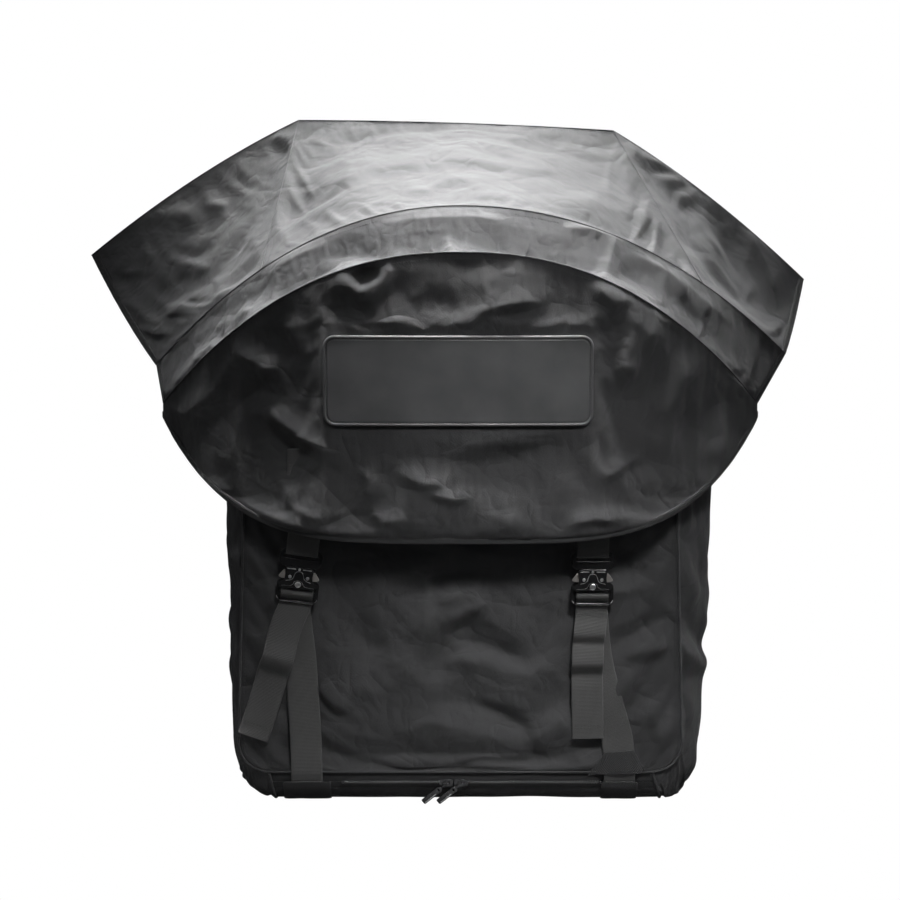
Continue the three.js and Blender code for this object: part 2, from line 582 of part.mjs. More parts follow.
for (const [word, wing] of Object.entries(wings)) {
  const share = (v) => bindingWidth / wing(0, v).distanceTo(wing(1, v));
  const near = wingSteps[word][0];
  const inner = (u, v) => (u === near ? share(v) : u);
  cloth(`lid_wing_${word}`, (u, v) => pushIn(wing(inner(u, v), v), slack(inner(u, v), v, 4)), wingSteps[word], steps(0, 1, 8));
  cloth(`wing_binding_${word}`, (u, v) => wing(share(v) * u, v), [0, 1], steps(0, 1, 8), tapeLook, bindingThickness);
}

// Patch on the flap, following its curve
const flapAt = (x, z) => {
  const u = x / flapHalf;
  const [high, low] = [flapSeamPoint(u).z, hemPoint(u).z];
  return flapPoint(u, (high - z) / (high - low));
};
const patchEnds = [0, 0.3, 0.62, 1];
const patchAcross = [...patchEnds.map((a) => -patchWidth / 2 + a * patchCorner), -90, -45, 0, 45, 90,
  ...patchEnds.map((a) => patchWidth / 2 - a * patchCorner).reverse()];
const patchHalf = (x) => {
  const over = Math.max(0, Math.abs(x) - (patchWidth / 2 - patchCorner));
  return patchHeight / 2 - patchCorner + Math.sqrt(Math.max(0, patchCorner ** 2 - over ** 2));
};
const onFlap = (x, v, lift) => {
  const p = flapAt(patchX + x, patchZ + patchHalf(x) * v);
  p.y -= lift;
  return p;
};
const patchRows = [-1, -0.5, 0, 0.5, 1];
const patchLift = lieGap + 0.6;
const patchGrid = (lift) => patchAcross.map((x) => patchRows.map((v) => onFlap(x, v, lift)));
slab('patch', patchGrid(patchLift + patchThickness), patchGrid(patchLift), patchLook);

// Lid straps: sewn inside the flap, down round the tongue's bar and up again
for (const word of ['left', 'right']) {
  const side = acrossBuckle(word);
  const rear = layer1 + strapFar;
  const front = layer1 - leverThickness - strapFar;
  const under = tongueTop - tongueBar - strapFar;
  const clear = tongueTop + tongueLift + 6;
  const stops = [[rear, clear], [rear, under + 4], [rear, under + 0.8], [rear - 0.8, under], [front + 0.8, under], [front, under + 0.8],
    [front, under + 4], [front, clear]].map(([y, w]) => [inBuckle(word, 0, y, w), side]);
  const start = stops[stops.length - 1][0];
  for (const [a, share] of [[0.35, 0.32], [0.7, 0.58], [0.92, 0.82], [1, 1]]) {
    const height = start.z + share * lidStrapReach;
    const inside = flapAt(start.x, height).y + canvas + strapFar + 1;
    const slope = flapAt(start.x + 5, height).y - flapAt(start.x - 5, height).y;
    stops.push([vec(start.x, lerp(start.y, inside, a), height), vec(10, slope * a, 0)]);
  }
  ribbon(`lid_strap_${word}`, stops, webbingWidth, webbingThickness, webbingLook);
}

// Back panel, behind the band, the top and the wings
const backFace = backY + seamGap / 2;
const rearEdge = (end) => {
  const side = end ? 1 : -1;
  const from = (side * backHalf - tips[end].x) / (peaks[end].x - tips[end].x);
  return steps(from, 1, 5).map((t) => [rearLines[end](t).x, rearLines[end](t).z]);
};
const lowerCorner = (side) => steps(0, 1, 5).map((a) => {
  const turn = a * Math.PI / 2;
  return [side * (backHalf - outerCorner + outerCorner * Math.sin(turn)), outerCorner * (1 - Math.cos(turn))];
});
const backOutline = [...lowerCorner(1), ...rearEdge(1), ...rearEdge(0).reverse(), ...lowerCorner(-1).reverse()];
hard('back_panel', plate(backOutline, backFace, backThickness), canvasLook);

// Piping in the seam round the front panel
const pipingY = frontY - pipingRadius - lieGap;
const seamPoint = (side) => (z) => vec(side * frontHalf(z), pipingY, z);
const pipingRoute = [...panelRows.slice(1).reverse().map(seamPoint(-1)),
  ...steps(-1, 1, 6).map((a) => vec(a * frontHalf(frontSeamHeight), pipingY, frontSeamHeight)), ...panelRows.slice(1).map(seamPoint(1))];
const section = new THREE.Shape();
section.absarc(0, 0, pipingRadius, 0, Math.PI * 2);
const route = new THREE.CatmullRomCurve3(pipingRoute, false, 'centripetal');
const piping = new THREE.ExtrudeGeometry(section, { steps: 72, bevelEnabled: false, extrudePath: route, curveSegments: 4 });
const pipingMesh = new THREE.Mesh(piping, tapeLook());
pipingMesh.name = 'front_piping';
group.add(pipingMesh);

export default group;
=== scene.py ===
import bpy, bmesh, json, math, time
import numpy as np
from mathutils import Vector, Matrix, noise
from mathutils.bvhtree import BVHTree

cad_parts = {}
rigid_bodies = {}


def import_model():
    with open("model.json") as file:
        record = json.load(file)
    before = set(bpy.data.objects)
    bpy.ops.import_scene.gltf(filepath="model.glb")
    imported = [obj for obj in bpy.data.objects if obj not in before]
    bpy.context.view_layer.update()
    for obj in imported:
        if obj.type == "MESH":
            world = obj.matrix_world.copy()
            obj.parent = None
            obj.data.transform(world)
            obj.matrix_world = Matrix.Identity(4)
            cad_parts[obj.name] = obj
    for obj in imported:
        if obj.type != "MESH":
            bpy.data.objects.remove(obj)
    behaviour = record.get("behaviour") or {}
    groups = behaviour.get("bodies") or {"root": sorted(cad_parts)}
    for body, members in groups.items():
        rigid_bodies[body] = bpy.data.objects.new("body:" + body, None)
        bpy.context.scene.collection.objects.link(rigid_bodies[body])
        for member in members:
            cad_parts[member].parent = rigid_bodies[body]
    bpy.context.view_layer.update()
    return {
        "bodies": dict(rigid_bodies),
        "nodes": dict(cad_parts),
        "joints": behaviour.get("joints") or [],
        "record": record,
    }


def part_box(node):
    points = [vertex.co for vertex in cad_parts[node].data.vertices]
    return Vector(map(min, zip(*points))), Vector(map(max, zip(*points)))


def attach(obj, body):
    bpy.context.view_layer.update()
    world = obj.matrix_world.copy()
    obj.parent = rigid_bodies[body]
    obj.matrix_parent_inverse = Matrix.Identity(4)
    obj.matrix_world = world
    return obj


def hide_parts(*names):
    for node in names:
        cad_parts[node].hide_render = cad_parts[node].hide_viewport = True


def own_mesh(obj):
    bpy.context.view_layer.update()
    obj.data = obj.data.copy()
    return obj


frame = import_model()
started = time.time()


def say(text):
    print(f"[{time.time() - started:5.1f} s] {text}")


# numbers
mm = 0.001
size = {
    "frontY": -139, "backY": 127, "frontHalfTop": 252, "frontHalfBottom": 268,
    "sideHalf": {-1: 290, 1: 309}, "sideMiddleY": -25, "backHalf": 275,
    "seamZ": 42, "baseFrontY": -104, "frontCorner": 36, "outerCorner": 66, "mouthFront": 480,
    "mouthBack": 690, "frontSwell": 5,
}
lid = {
    "peakLeft": (204, 813), "peakRight": (194, 800), "rearBow": 11, "tipLeft": (471, 642),
    "tipRight": (441, 611), "footLeft": 236, "footRight": 289,
    "ridgeLeft": 374, "ridgeRight": 400, "ridgeZ": 722, "ridgeEndLeft": 518, "ridgeEndRight": 532,
    "ridgeFrontY": -134, "ridgeEndY": -6,
    "flapHalf": 362, "seamZ": 673, "seamEnd": 476, "flapFrontY": -192, "flapEndY": -43, "hemZ": 333,
    "hemEnd": 459, "hemBack": 6,
    "flapSwell": 5, "topSwell": 10, "fold": 7,
}
patch = {"width": 310, "height": 105, "corner": 14, "x": -3, "z": 526}
centre = Vector((0, 20, 380))


def mix(a, b, t):
    return a + (b - a) * t


def clamp(a, low=0.0, high=1.0):
    return max(low, min(high, a))


def ease(a):
    a = clamp(a)
    return a * a * (3 - 2 * a)


# camera, light, floor
view = {"sensor": 36, "lens": 88, "target": (-0.0124, 0, 0.4117), "distance": 2.728, "tilt": 10,
        "fill": 0.07, "picture": 900}
lights = [  # name, place, aim, side, watts, spread in degrees
    ("top", (-0.04, 1.5, 2.7), (0.0, 0.05, 0.8), 0.6, 5.0, 27),
    ("overhead", (0.0, -0.2, 2.6), (0.01, -0.12, 0.7), 0.5, 4.6, 19),
    ("front", (0.4, -1.5, 2.05), (0.05, -0.14, 0.08), 0.4, 1.05, 20),
    ("left", (-2.2, -0.7, 1.4), (0, 0, 0.3), 1.0, 4, 180),
    ("right", (2.2, -0.7, 1.4), (0, 0, 0.3), 1.0, 5, 180),
]


def makeStage():
    cam = bpy.data.cameras.new("camera")
    cam.sensor_width = view["sensor"]
    cam.lens = view["lens"]
    cam.clip_end = 50
    obj = bpy.data.objects.new("camera", cam)
    bpy.context.scene.collection.objects.link(obj)
    target = Vector(view["target"])
    tilt = math.radians(view["tilt"])
    obj.location = target + view["distance"] * Vector((0, -math.cos(tilt), math.sin(tilt)))
    obj.rotation_euler = (target - obj.location).to_track_quat("-Z", "Y").to_euler()
    bpy.context.scene.camera = obj

    def area(name, where, aim, size, power, spread):
        light = bpy.data.lights.new(name, "AREA")
        light.shape = "SQUARE"
        light.size = size
        light.spread = math.radians(spread)
        light.energy = power
        holder = bpy.data.objects.new(name, light)
        bpy.context.scene.collection.objects.link(holder)
        holder.location = where
        holder.rotation_euler = (Vector(aim) - Vector(where)).to_track_quat("-Z", "Y").to_euler()

    for light in lights:
        area(*light)

    world = bpy.data.worlds.new("world")
    bpy.context.scene.world = world
    world.use_nodes = True
    tree = world.node_tree
    tree.nodes.clear()
    out = tree.nodes.new("ShaderNodeOutputWorld")
    seen = tree.nodes.new("ShaderNodeBackground")
    lit = tree.nodes.new("ShaderNodeBackground")
    seen.inputs["Color"].default_value = (1, 1, 1, 1)
    lit.inputs["Color"].default_value = (0.9, 0.93, 1, 1)
    lit.inputs["Strength"].default_value = view["fill"]
    path = tree.nodes.new("ShaderNodeLightPath")
    blend = tree.nodes.new("ShaderNodeMixShader")
    tree.links.new(path.outputs["Is Camera Ray"], blend.inputs[0])
    tree.links.new(lit.outputs[0], blend.inputs[1])
    tree.links.new(seen.outputs[0], blend.inputs[2])
    tree.links.new(blend.outputs[0], out.inputs["Surface"])

    bpy.ops.mesh.primitive_plane_add(size=24, location=(0, 4, -0.0006))
    floor = bpy.context.object
    floor.name = "floor"
    mat = bpy.data.materials.new("floor")
    mat.use_nodes = True
    nodes = mat.node_tree.nodes
    links = mat.node_tree.links
    nodes.clear()
    out = nodes.new("ShaderNodeOutputMaterial")
    plain = nodes.new("ShaderNodeBsdfDiffuse")
    plain.inputs["Color"].default_value = (0.1, 0.1, 0.1, 1)
    shown = nodes.new("ShaderNodeEmission")
    shown.inputs["Strength"].default_value = 1.0
    path = nodes.new("ShaderNodeLightPath")
    blend = nodes.new("ShaderNodeMixShader")
    links.new(path.outputs["Is Camera Ray"], blend.inputs[0])
    links.new(plain.outputs[0], blend.inputs[1])
    links.new(shown.outputs[0], blend.inputs[2])
    links.new(blend.outputs[0], out.inputs["Surface"])
    floor.data.materials.append(mat)
    bpy.context.scene.view_settings.view_transform = "Standard"


makeStage()
say("camera, lights and floor")


# material helpers
def newMaterial(name):
    mat = bpy.data.materials.new(name)
    mat.use_nodes = True
    nodes, links = mat.node_tree.nodes, mat.node_tree.links
    shader = nodes["Principled BSDF"]

    def node(kind, **values):
        made = nodes.new(kind)
        for key, value in values.items():
            if key in made.inputs:
                made.inputs[key].default_value = value
            else:
                setattr(made, key, value)
        return made

    def link(a, b):
        links.new(a, b)

    def math_(operation, a, b=None, c=None):
        made = nodes.new("ShaderNodeMath")
        made.operation = operation
        for i, value in enumerate((a, b, c)):
            if value is None:
                continue
            if isinstance(value, (int, float)):
                made.inputs[i].default_value = value
            else:
                links.new(value, made.inputs[i])
        return made.outputs[0]

    def ramp(source, stops):
        made = nodes.new("ShaderNodeValToRGB")
        elements = made.color_ramp.elements
        while len(elements) > 1:
            elements.remove(elements[-1])
        for i, (at, color) in enumerate(stops):
            item = elements[0] if i == 0 else elements.new(at)
            item.position = at
            item.color = color if isinstance(color, tuple) else (color, color, color, 1)
        links.new(source, made.inputs[0])
        return made.outputs[0]

    return mat, shader, node, link, math_, ramp


# woven cloth: a plain weave in the UV map, waxy mottling, pale crease lines and dust
def clothMaterial(name, look):
    mat, shader, node, link, math_, ramp = newMaterial(name)
    uv = node("ShaderNodeUVMap", uv_map="cloth")
    split = node("ShaderNodeSeparateXYZ")
    link(uv.outputs[0], split.inputs[0])
    place = node("ShaderNodeTexCoord")
    wander = node("ShaderNodeTexNoise", Scale=look["wanderScale"], Detail=2.0)
    link(place.outputs["Object"], wander.inputs["Vector"])
    drift = math_("MULTIPLY", wander.outputs[0], look["wander"])
    warp = math_("SINE", math_("MULTIPLY", math_("ADD", split.outputs[0], drift),
                               2 * math.pi / look["pitch"]))
    weft = math_("SINE", math_("MULTIPLY", math_("ADD", split.outputs[1], drift),
                               2 * math.pi / look["pitch"]))
    weave = math_("MULTIPLY", warp, weft)
    grain = node("ShaderNodeTexNoise", Scale=look["grainScale"], Detail=3.0, Roughness=0.7)
    link(place.outputs["Object"], grain.inputs["Vector"])
    mottle = node("ShaderNodeTexNoise", Scale=look["mottleScale"], Detail=5.0, Roughness=0.62)
    link(place.outputs["Object"], mottle.inputs["Vector"])
    crack = node("ShaderNodeTexVoronoi", Scale=look["creaseScale"])
    crack.feature = "DISTANCE_TO_EDGE"
    shift = node("ShaderNodeTexNoise", Scale=look["creaseScale"] * 0.7, Detail=3.0)
    link(place.outputs["Object"], shift.inputs["Vector"])
    bent = node("ShaderNodeVectorMath", operation="MULTIPLY_ADD")
    link(shift.outputs["Color"], bent.inputs[0])
    bent.inputs[1].default_value = (0.09, 0.09, 0.09)
    link(place.outputs["Object"], bent.inputs[2])
    link(bent.outputs[0], crack.inputs["Vector"])
    crease = ramp(crack.outputs["Distance"], [(0.0, 1.0), (0.035, 0.35), (0.12, 0.0)])
    patchy = ramp(mottle.outputs[0], [(0.38, 0.0), (0.62, 1.0)])
    creaseHere = math_("MULTIPLY", crease, patchy)
    tone = math_("ADD", math_("MULTIPLY", mottle.outputs[0], look["mottle"]),
                 math_("MULTIPLY", weave, look["weaveTone"]))
    tone = math_("ADD", tone, math_("MULTIPLY", creaseHere, look["creaseTone"]))
    tone = math_("ADD", tone, math_("MULTIPLY", grain.outputs[0], look["grainTone"]))
    link(ramp(tone, [(0.0, look["dark"]), (1.0, look["light"])]), shader.inputs["Base Color"])
    rough = math_("ADD", math_("MULTIPLY", mottle.outputs[0], look["roughSpread"]),
                  look["rough"] - look["roughSpread"] * 0.5)
    link(rough, shader.inputs["Roughness"])
    shader.inputs["Specular IOR Level"].default_value = look["specular"]
    shader.inputs["Sheen Weight"].default_value = look["sheen"]
    shader.inputs["Sheen Roughness"].default_value = 0.45
    height = math_("ADD", math_("MULTIPLY", weave, look["weaveDepth"]),
                   math_("MULTIPLY", grain.outputs[0], look["grainDepth"]))
    height = math_("ADD", height, math_("MULTIPLY", creaseHere, look["creaseDepth"]))
    height = math_("ADD", height, math_("MULTIPLY", mottle.outputs[0], look["mottleDepth"]))
    for scale, depth in look["facets"]:
        waves = node("ShaderNodeTexNoise", Scale=scale, Detail=1.5, Roughness=0.4, Distortion=0.6)
        link(place.outputs["Object"], waves.inputs["Vector"])
        fold = math_("ABSOLUTE", math_("SUBTRACT", waves.outputs[0], 0.5))
        height = math_("ADD", height, math_("MULTIPLY", fold, depth))
    bump = node("ShaderNodeBump", Strength=1.0, Distance=0.001)
    link(height, bump.inputs["Height"])
    link(bump.outputs[0], shader.inputs["Normal"])
    return mat


def tapeBase(look):
    return dict(look, creaseDepth=0.0, creaseTone=0.0, mottleDepth=0.3, facets=())


canvasLook = {
    "pitch": 0.0016, "wander": 0.0012, "wanderScale": 9.0, "grainScale": 900.0, "mottleScale": 7.0,
    "creaseScale": 9.0,
    "mottle": 0.5, "weaveTone": 0.16, "creaseTone": 0.14, "grainTone": 0.22,
    "dark": (0.016, 0.016, 0.017, 1), "light": (0.052, 0.052, 0.054, 1),
    "rough": 0.64, "roughSpread": 0.14, "specular": 0.46, "sheen": 0.16, "weaveDepth": 0.2,
    "grainDepth": 0.5, "creaseDepth": 0.5, "mottleDepth": 0.8,
    "facets": ((8.0, 17.0), (17.0, 9.5), (38.0, 3.2)),
}
tapeLook = dict(canvasLook, pitch=0.0022, dark=(0.008, 0.008, 0.009, 1), light=(0.026, 0.026, 0.027, 1),
                creaseDepth=0.0, creaseTone=0.0, mottleDepth=0.3,
                weaveDepth=0.3, facets=((17.0, 3.0),))
bindingLook = dict(tapeBase(canvasLook), pitch=0.0024, dark=(0.008, 0.008, 0.0085, 1),
                   light=(0.06, 0.06, 0.062, 1), weaveDepth=0.7, weaveTone=0.3,
                   grainDepth=1.2, wander=0.0004, rough=0.8)
canvasMat = clothMaterial("waxed_canvas", canvasLook)
bindingMat = clothMaterial("hem_tape", bindingLook)
tapeMat = clothMaterial("binding_tape", tapeLook)


# webbing: ribs across the band, two warp lines a rib
def webbingMaterial(name, look):
    mat, shader, node, link, math_, ramp = newMaterial(name)
    uv = node("ShaderNodeUVMap", uv_map="cloth")
    split = node("ShaderNodeSeparateXYZ")
    link(uv.outputs[0], split.inputs[0])
    across, along = split.outputs[0], split.outputs[1]
    ribs = math_("ABSOLUTE", math_("SINE", math_("MULTIPLY", along, math.pi / look["rib"])))
    cords = math_("ABSOLUTE", math_("SINE", math_("MULTIPLY", across, math.pi / look["cord"])))
    place = node("ShaderNodeTexCoord")
    fuzz = node("ShaderNodeTexNoise", Scale=1500.0, Detail=2.0)
    link(place.outputs["Object"], fuzz.inputs["Vector"])
    mottle = node("ShaderNodeTexNoise", Scale=35.0, Detail=3.0)
    link(place.outputs["Object"], mottle.inputs["Vector"])
    weave = math_("MULTIPLY", math_("POWER", ribs, 0.6), math_("POWER", cords, 0.5))
    tone = math_("ADD", math_("MULTIPLY", weave, 0.5), math_("MULTIPLY", fuzz.outputs[0], 0.25))
    tone = math_("ADD", tone, math_("MULTIPLY", mottle.outputs[0], 0.25))
    link(ramp(tone, [(0.0, look["dark"]), (1.0, look["light"])]), shader.inputs["Base Color"])
    shader.inputs["Roughness"].default_value = look["rough"]
    shader.inputs["Specular IOR Level"].default_value = 0.4
    shader.inputs["Sheen Weight"].default_value = 0.25
    bump = node("ShaderNodeBump", Strength=1.0, Distance=0.001)
    link(math_("ADD", math_("MULTIPLY", weave, 0.45), math_("MULTIPLY", fuzz.outputs[0], 0.15)),
         bump.inputs["Height"])
    link(bump.outputs[0], shader.inputs["Normal"])
    return mat


webbingMat = webbingMaterial("webbing", {"rib": 0.0017, "cord": 0.0013, "dark": (0.036, 0.0355, 0.035, 1),
                                         "light": (0.078, 0.0775, 0.077, 1), "rough": 0.55})


# metal or moulded plastic with fine grain, worn patches and smudges
def hardMaterial(name, color, metallic, rough, spread=0.1, grain=0.05, scale=300.0, coat=0.0):
    mat, shader, node, link, math_, ramp = newMaterial(name)
    place = node("ShaderNodeTexCoord")
    fine = node("ShaderNodeTexNoise", Scale=scale * 3, Detail=2.0)
    link(place.outputs["Object"], fine.inputs["Vector"])
    broad = node("ShaderNodeTexNoise", Scale=scale * 0.25, Detail=4.0)
    link(place.outputs["Object"], broad.inputs["Vector"])
    dark = tuple(c * 0.75 for c in color) + (1,)
    light = tuple(min(1, c * 1.25) for c in color) + (1,)
    link(ramp(broad.outputs[0], [(0.3, dark), (0.7, light)]), shader.inputs["Base Color"])
    link(math_("ADD", math_("MULTIPLY", broad.outputs[0], spread), rough - spread * 0.5),
         shader.inputs["Roughness"])
    shader.inputs["Metallic"].default_value = metallic
    shader.inputs["Coat Weight"].default_value = coat
    bump = node("ShaderNodeBump", Strength=1.0, Distance=0.0004)
    link(math_("MULTIPLY", fine.outputs[0], grain), bump.inputs["Height"])
    link(bump.outputs[0], shader.inputs["Normal"])
    return mat


blackMetal = hardMaterial("black_metal", (0.014, 0.014, 0.015), 0.5, 0.24, 0.12, 0.2, 300.0, 0.6)
brightMetal = hardMaterial("bright_metal", (0.8, 0.8, 0.81), 1.0, 0.3, 0.12, 0.1)
leverMetal = hardMaterial("lever_metal", (0.36, 0.34, 0.32), 0.7, 0.4, 0.12, 0.2)
zipMetal = hardMaterial("zip_metal", (0.04, 0.04, 0.042), 0.6, 0.26, 0.1, 0.12, 300.0, 0.7)
# the teeth's own dark plastic, made lighter so that the chain shows as rows of small highlights: partly
# painted highlight
zipPlastic = hardMaterial("zip_teeth", (0.11, 0.11, 0.11), 0.0, 0.34, 0.08, 0.1, 300.0, 0.4)
patchPvc = hardMaterial("patch_pvc", (0.078, 0.078, 0.08), 0.0, 0.46, 0.05, 0.16, 60.0)
# pale grey for the painted highlight lines along the buckles' edges, and for the stripe on the zip pulls
highlightAndStripeMetal = hardMaterial("highlight_and_stripe_metal", (0.42, 0.42, 0.42), 0.35, 0.36, 0.12, 0.15)
threadMat = hardMaterial("thread", (0.03, 0.03, 0.03), 0.0, 0.6, 0.1, 0.3, 900.0)
say("materials")


# mesh helpers
def link(obj):
    bpy.context.scene.collection.objects.link(obj)
    return obj


def meshObject(name, points, faces, material=None, uvs=None, smooth=True):
    mesh = bpy.data.meshes.new(name)
    mesh.from_pydata([tuple(Vector(p) * mm) for p in points], [], faces)
    if uvs is not None:
        layer = mesh.uv_layers.new(name="cloth")
        for poly in mesh.polygons:
            for k in poly.loop_indices:
                layer.data[k].uv = uvs[mesh.loops[k].vertex_index]
    for poly in mesh.polygons:
        poly.use_smooth = smooth
    mesh.update()
    obj = link(bpy.data.objects.new(name, mesh))
    if material:
        mesh.materials.append(material)
    return obj


# a sheet from rows of points, with its UV map in metres of cloth
def gridMesh(name, grid, material):
    rows, columns = len(grid), len(grid[0])
    points = [p for row in grid for p in row]
    midRow, midColumn = grid[rows // 2], [row[columns // 2] for row in grid]
    alongV = [0.0]
    for a, b in zip(midRow, midRow[1:]):
        alongV.append(alongV[-1] + (b - a).length * mm)
    alongU = [0.0]
    for a, b in zip(midColumn, midColumn[1:]):
        alongU.append(alongU[-1] + (b - a).length * mm)
    uvs = [(alongU[i], alongV[j]) for i in range(rows) for j in range(columns)]
    faces = []
    for i in range(rows - 1):
        for j in range(columns - 1):
            faces.append((i * columns + j, (i + 1) * columns + j, (i + 1) * columns + j + 1,
                          i * columns + j + 1))
    return meshObject(name, points, faces, material, uvs)


creaseWaves = (  # direction in x, y and z, then length in mm
    (0.8, 0.3, 0.5, 95.0), (-0.5, 0.4, 0.8, 120.0), (0.2, -0.7, 0.9, 80.0), (0.9, 0.5, -0.4, 140.0),
    (0.1, 0.9, 0.7, 60.0),
)


# creased canvas: folded waves along a few directions, each strong only in patches
def crumple(p, normal, amount, seed=0.0):
    total = 0.0
    for k, (dx, dy, dz, length) in enumerate(creaseWaves):
        q = Vector(p)
        bend = noise.noise(q * 0.008 + Vector((seed + k * 3.1, k, 0))) * 55
        a = (q.x * dx + q.y * dy + q.z * dz + bend) / length + seed * 0.37 + k * 0.21
        wave = abs((a % 1.0) * 2 - 1) - 0.5
        here = clamp(noise.noise(q * 0.0075 + Vector((k * 5.3, seed, 2.0))) * 2.2 + 0.15)
        total += wave * here
    return Vector(p) + normal * (total * amount)


# where points in mm fall in the square picture from the camera
def pixelsOf(points):
    camera = bpy.context.scene.camera
    back = camera.matrix_basis.inverted()
    flat = np.array([tuple(back @ (Vector(p) * mm)) for p in points])
    scale = view["picture"] * camera.data.lens / camera.data.sensor_width
    middle = view["picture"] / 2
    return np.stack([middle - scale * flat[:, 0] / flat[:, 2], middle + scale * flat[:, 1] / flat[:, 2]],
                    axis=1)


# height of the folds at each pixel. A fold is (height in mm, reach to its left and its right
# in pixels, its line)
def foldHeights(pixels, folds):
    total = np.zeros(len(pixels))
    for height, left, right, route in folds:
        route = np.array(route, float)
        steps = np.diff(route, axis=0)
        lengths = np.hypot(steps[:, 0], steps[:, 1])
        whole, done = lengths.sum(), 0.0
        nearest = np.full(len(pixels), 1e9)
        signed = np.zeros(len(pixels))
        share = np.zeros(len(pixels))
        for start, step, length in zip(route, steps, lengths):
            rel = pixels - start
            along = np.clip((rel @ step) / length ** 2, 0, 1)
            gap = rel - along[:, None] * step
            away = np.hypot(gap[:, 0], gap[:, 1])
            turn = step[0] * rel[:, 1] - step[1] * rel[:, 0]
            closer = away < nearest
            nearest = np.where(closer, away, nearest)
            signed = np.where(closer, np.sign(turn) * away, signed)
            share = np.where(closer, (done + along * length) / whole, share)
            done += length
        reach = np.where(signed < 0, left, right)
        ends = np.clip(3.2 * np.minimum(share, 1 - share) + 0.12, 0, 1)
        gap = nearest / (1.9 * reach)
        rise = (1 - np.sqrt(gap * gap + 0.004)) * (1 - 0.35 * gap)
        total += 1.25 * height * ends * np.where(gap < 1, rise, 0)
    return total


# cloth with its seams held: the cloth is cut a little large, so it buckles and sags as real
# canvas does
def simulate(obj, pinned, settings):
    group = obj.vertex_groups.new(name="held")
    for index, weight in pinned.items():
        group.add([index], weight, "REPLACE")
    cloth = obj.modifiers.new("cloth", "CLOTH")
    use = cloth.settings
    use.quality = settings["quality"]
    use.mass = settings["mass"]
    use.tension_stiffness = use.compression_stiffness = settings["stretch"]
    use.shear_stiffness = settings["shear"]
    use.bending_stiffness = settings["bending"]
    use.tension_damping = use.compression_damping = settings["damping"]
    use.bending_damping = use.air_damping = settings["airDamping"]
    use.shrink_min = -settings["excess"]
    use.vertex_group_mass = "held"
    use.pin_stiffness = settings["pinned"]
    use.effector_weights.gravity = settings["gravity"]
    scene = bpy.context.scene
    frames = settings["frames"]
    cloth.point_cache.frame_end = frames + 2
    for f in range(1, frames + 1):
        scene.frame_set(f)
    depsgraph = bpy.context.evaluated_depsgraph_get()
    held = obj.evaluated_get(depsgraph)
    places = [v.co.copy() for v in held.data.vertices]
    obj.modifiers.remove(cloth)
    scene.frame_set(1)
    start = [v.co.copy() for v in obj.data.vertices]
    cap = settings["cap"] * mm
    for vert, a, b in zip(obj.data.vertices, start, places):
        move = b - a
        if move.length > cap:
            move *= cap / move.length
        vert.co = a + move
    obj.data.update()


# the normal, turned to the outside of the bag
def outOf(point, normal):
    return normal if normal.dot(point - centre * mm) > 0 else -normal


def spread(count, low=0.0, high=1.0):
    return [mix(low, high, i / (count - 1)) for i in range(count)]


# one cut piece of canvas: surface, slack by simulation, creases, then thickness
def panel(name, surface, us, vs, node, options, material=None, body="bag"):
    grid = [[surface(u, v) for v in vs] for u in us]
    rows, columns = len(us), len(vs)
    obj = gridMesh(name, grid, material or canvasMat)
    held = {}
    pin = options.get("pin")
    for i in range(rows):
        for j in range(columns):
            onSeam = i in (0, rows - 1) or j in (0, columns - 1)
            if onSeam or (pin and pin(us[i], vs[j])):
                held[i * columns + j] = 1.0
    if options.get("cloth"):
        simulate(obj, held, options["cloth"])
    mesh = obj.data
    normals = [outOf(v.co, v.normal.copy()) for v in mesh.vertices]
    crease = options.get("crease", 0)
    if crease:
        for i in range(rows):
            for j in range(columns):
                k = i * columns + j
                edge = min(i, rows - 1 - i, j, columns - 1 - j)
                fade = clamp(edge / 5)
                if options.get("calm"):
                    fade *= options["calm"](us[i], vs[j])
                p = mesh.vertices[k].co / mm
                mesh.vertices[k].co = crumple(p, normals[k], crease * fade, options.get("seed", 0.0)) * mm
    if options.get("folds"):
        pixels = pixelsOf([v.co / mm for v in mesh.vertices])
        heights = foldHeights(pixels, options["folds"]) * options.get("foldScale", 1)
        short = options.get("foldEdge", 3)
        for i in range(rows):
            for j in range(columns):
                k = i * columns + j
                edge = min(i, rows - 1 - i, j, columns - 1 - j)
                fade = ease(edge / short)
                if options.get("calm"):
                    fade *= options["calm"](us[i], vs[j])
                mesh.vertices[k].co += outOf(mesh.vertices[k].co, normals[k]) * heights[k] * fade * mm
    for vertex in mesh.vertices:
        vertex.co.z = max(vertex.co.z, 1.2 * mm)
    mesh.update()
    middle = mesh.vertices[(rows // 2) * columns + columns // 2]
    if middle.normal.dot(middle.co - centre * mm) < 0:
        mesh.flip_normals()
        mesh.update()
    thick = obj.modifiers.new("thickness", "SOLIDIFY")
    thick.thickness = options.get("thick", 1.3) * mm
    thick.offset = -1
    soften = obj.modifiers.new("soften", "SUBSURF")
    soften.levels = soften.render_levels = 1
    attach(obj, body)
    options.get("slot", "canvas")
    if node:
        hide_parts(node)
    return obj


# surfaces, as in the CAD
def frontHalf(z):
    above = max(z, size["seamZ"] + size["frontCorner"])
    half = mix(size["frontHalfBottom"], size["frontHalfTop"],
               clamp((above - size["seamZ"]) / (size["mouthFront"] - size["seamZ"])))
    drop = size["frontCorner"] - (z - size["seamZ"])
    if drop > 0:
        return half - size["frontCorner"] + math.sqrt(max(0, size["frontCorner"] ** 2 - drop ** 2))
    return half


def slack(u, v, seed, crease=3):
    fade = min(1, 5 * u * (1 - u)) * min(1, 5 * v * (1 - v))
    long_ = math.sin(9 * u + 4 * v + seed) + 0.7 * math.sin(14 * v - 7 * u + 2.3 * seed)
    short = 0.5 * math.sin(21 * u + 5 * v + 1.7 * seed) + 0.4 * math.sin(6 * u - 23 * v + seed)
    return crease * fade * (long_ + short) * 0.5


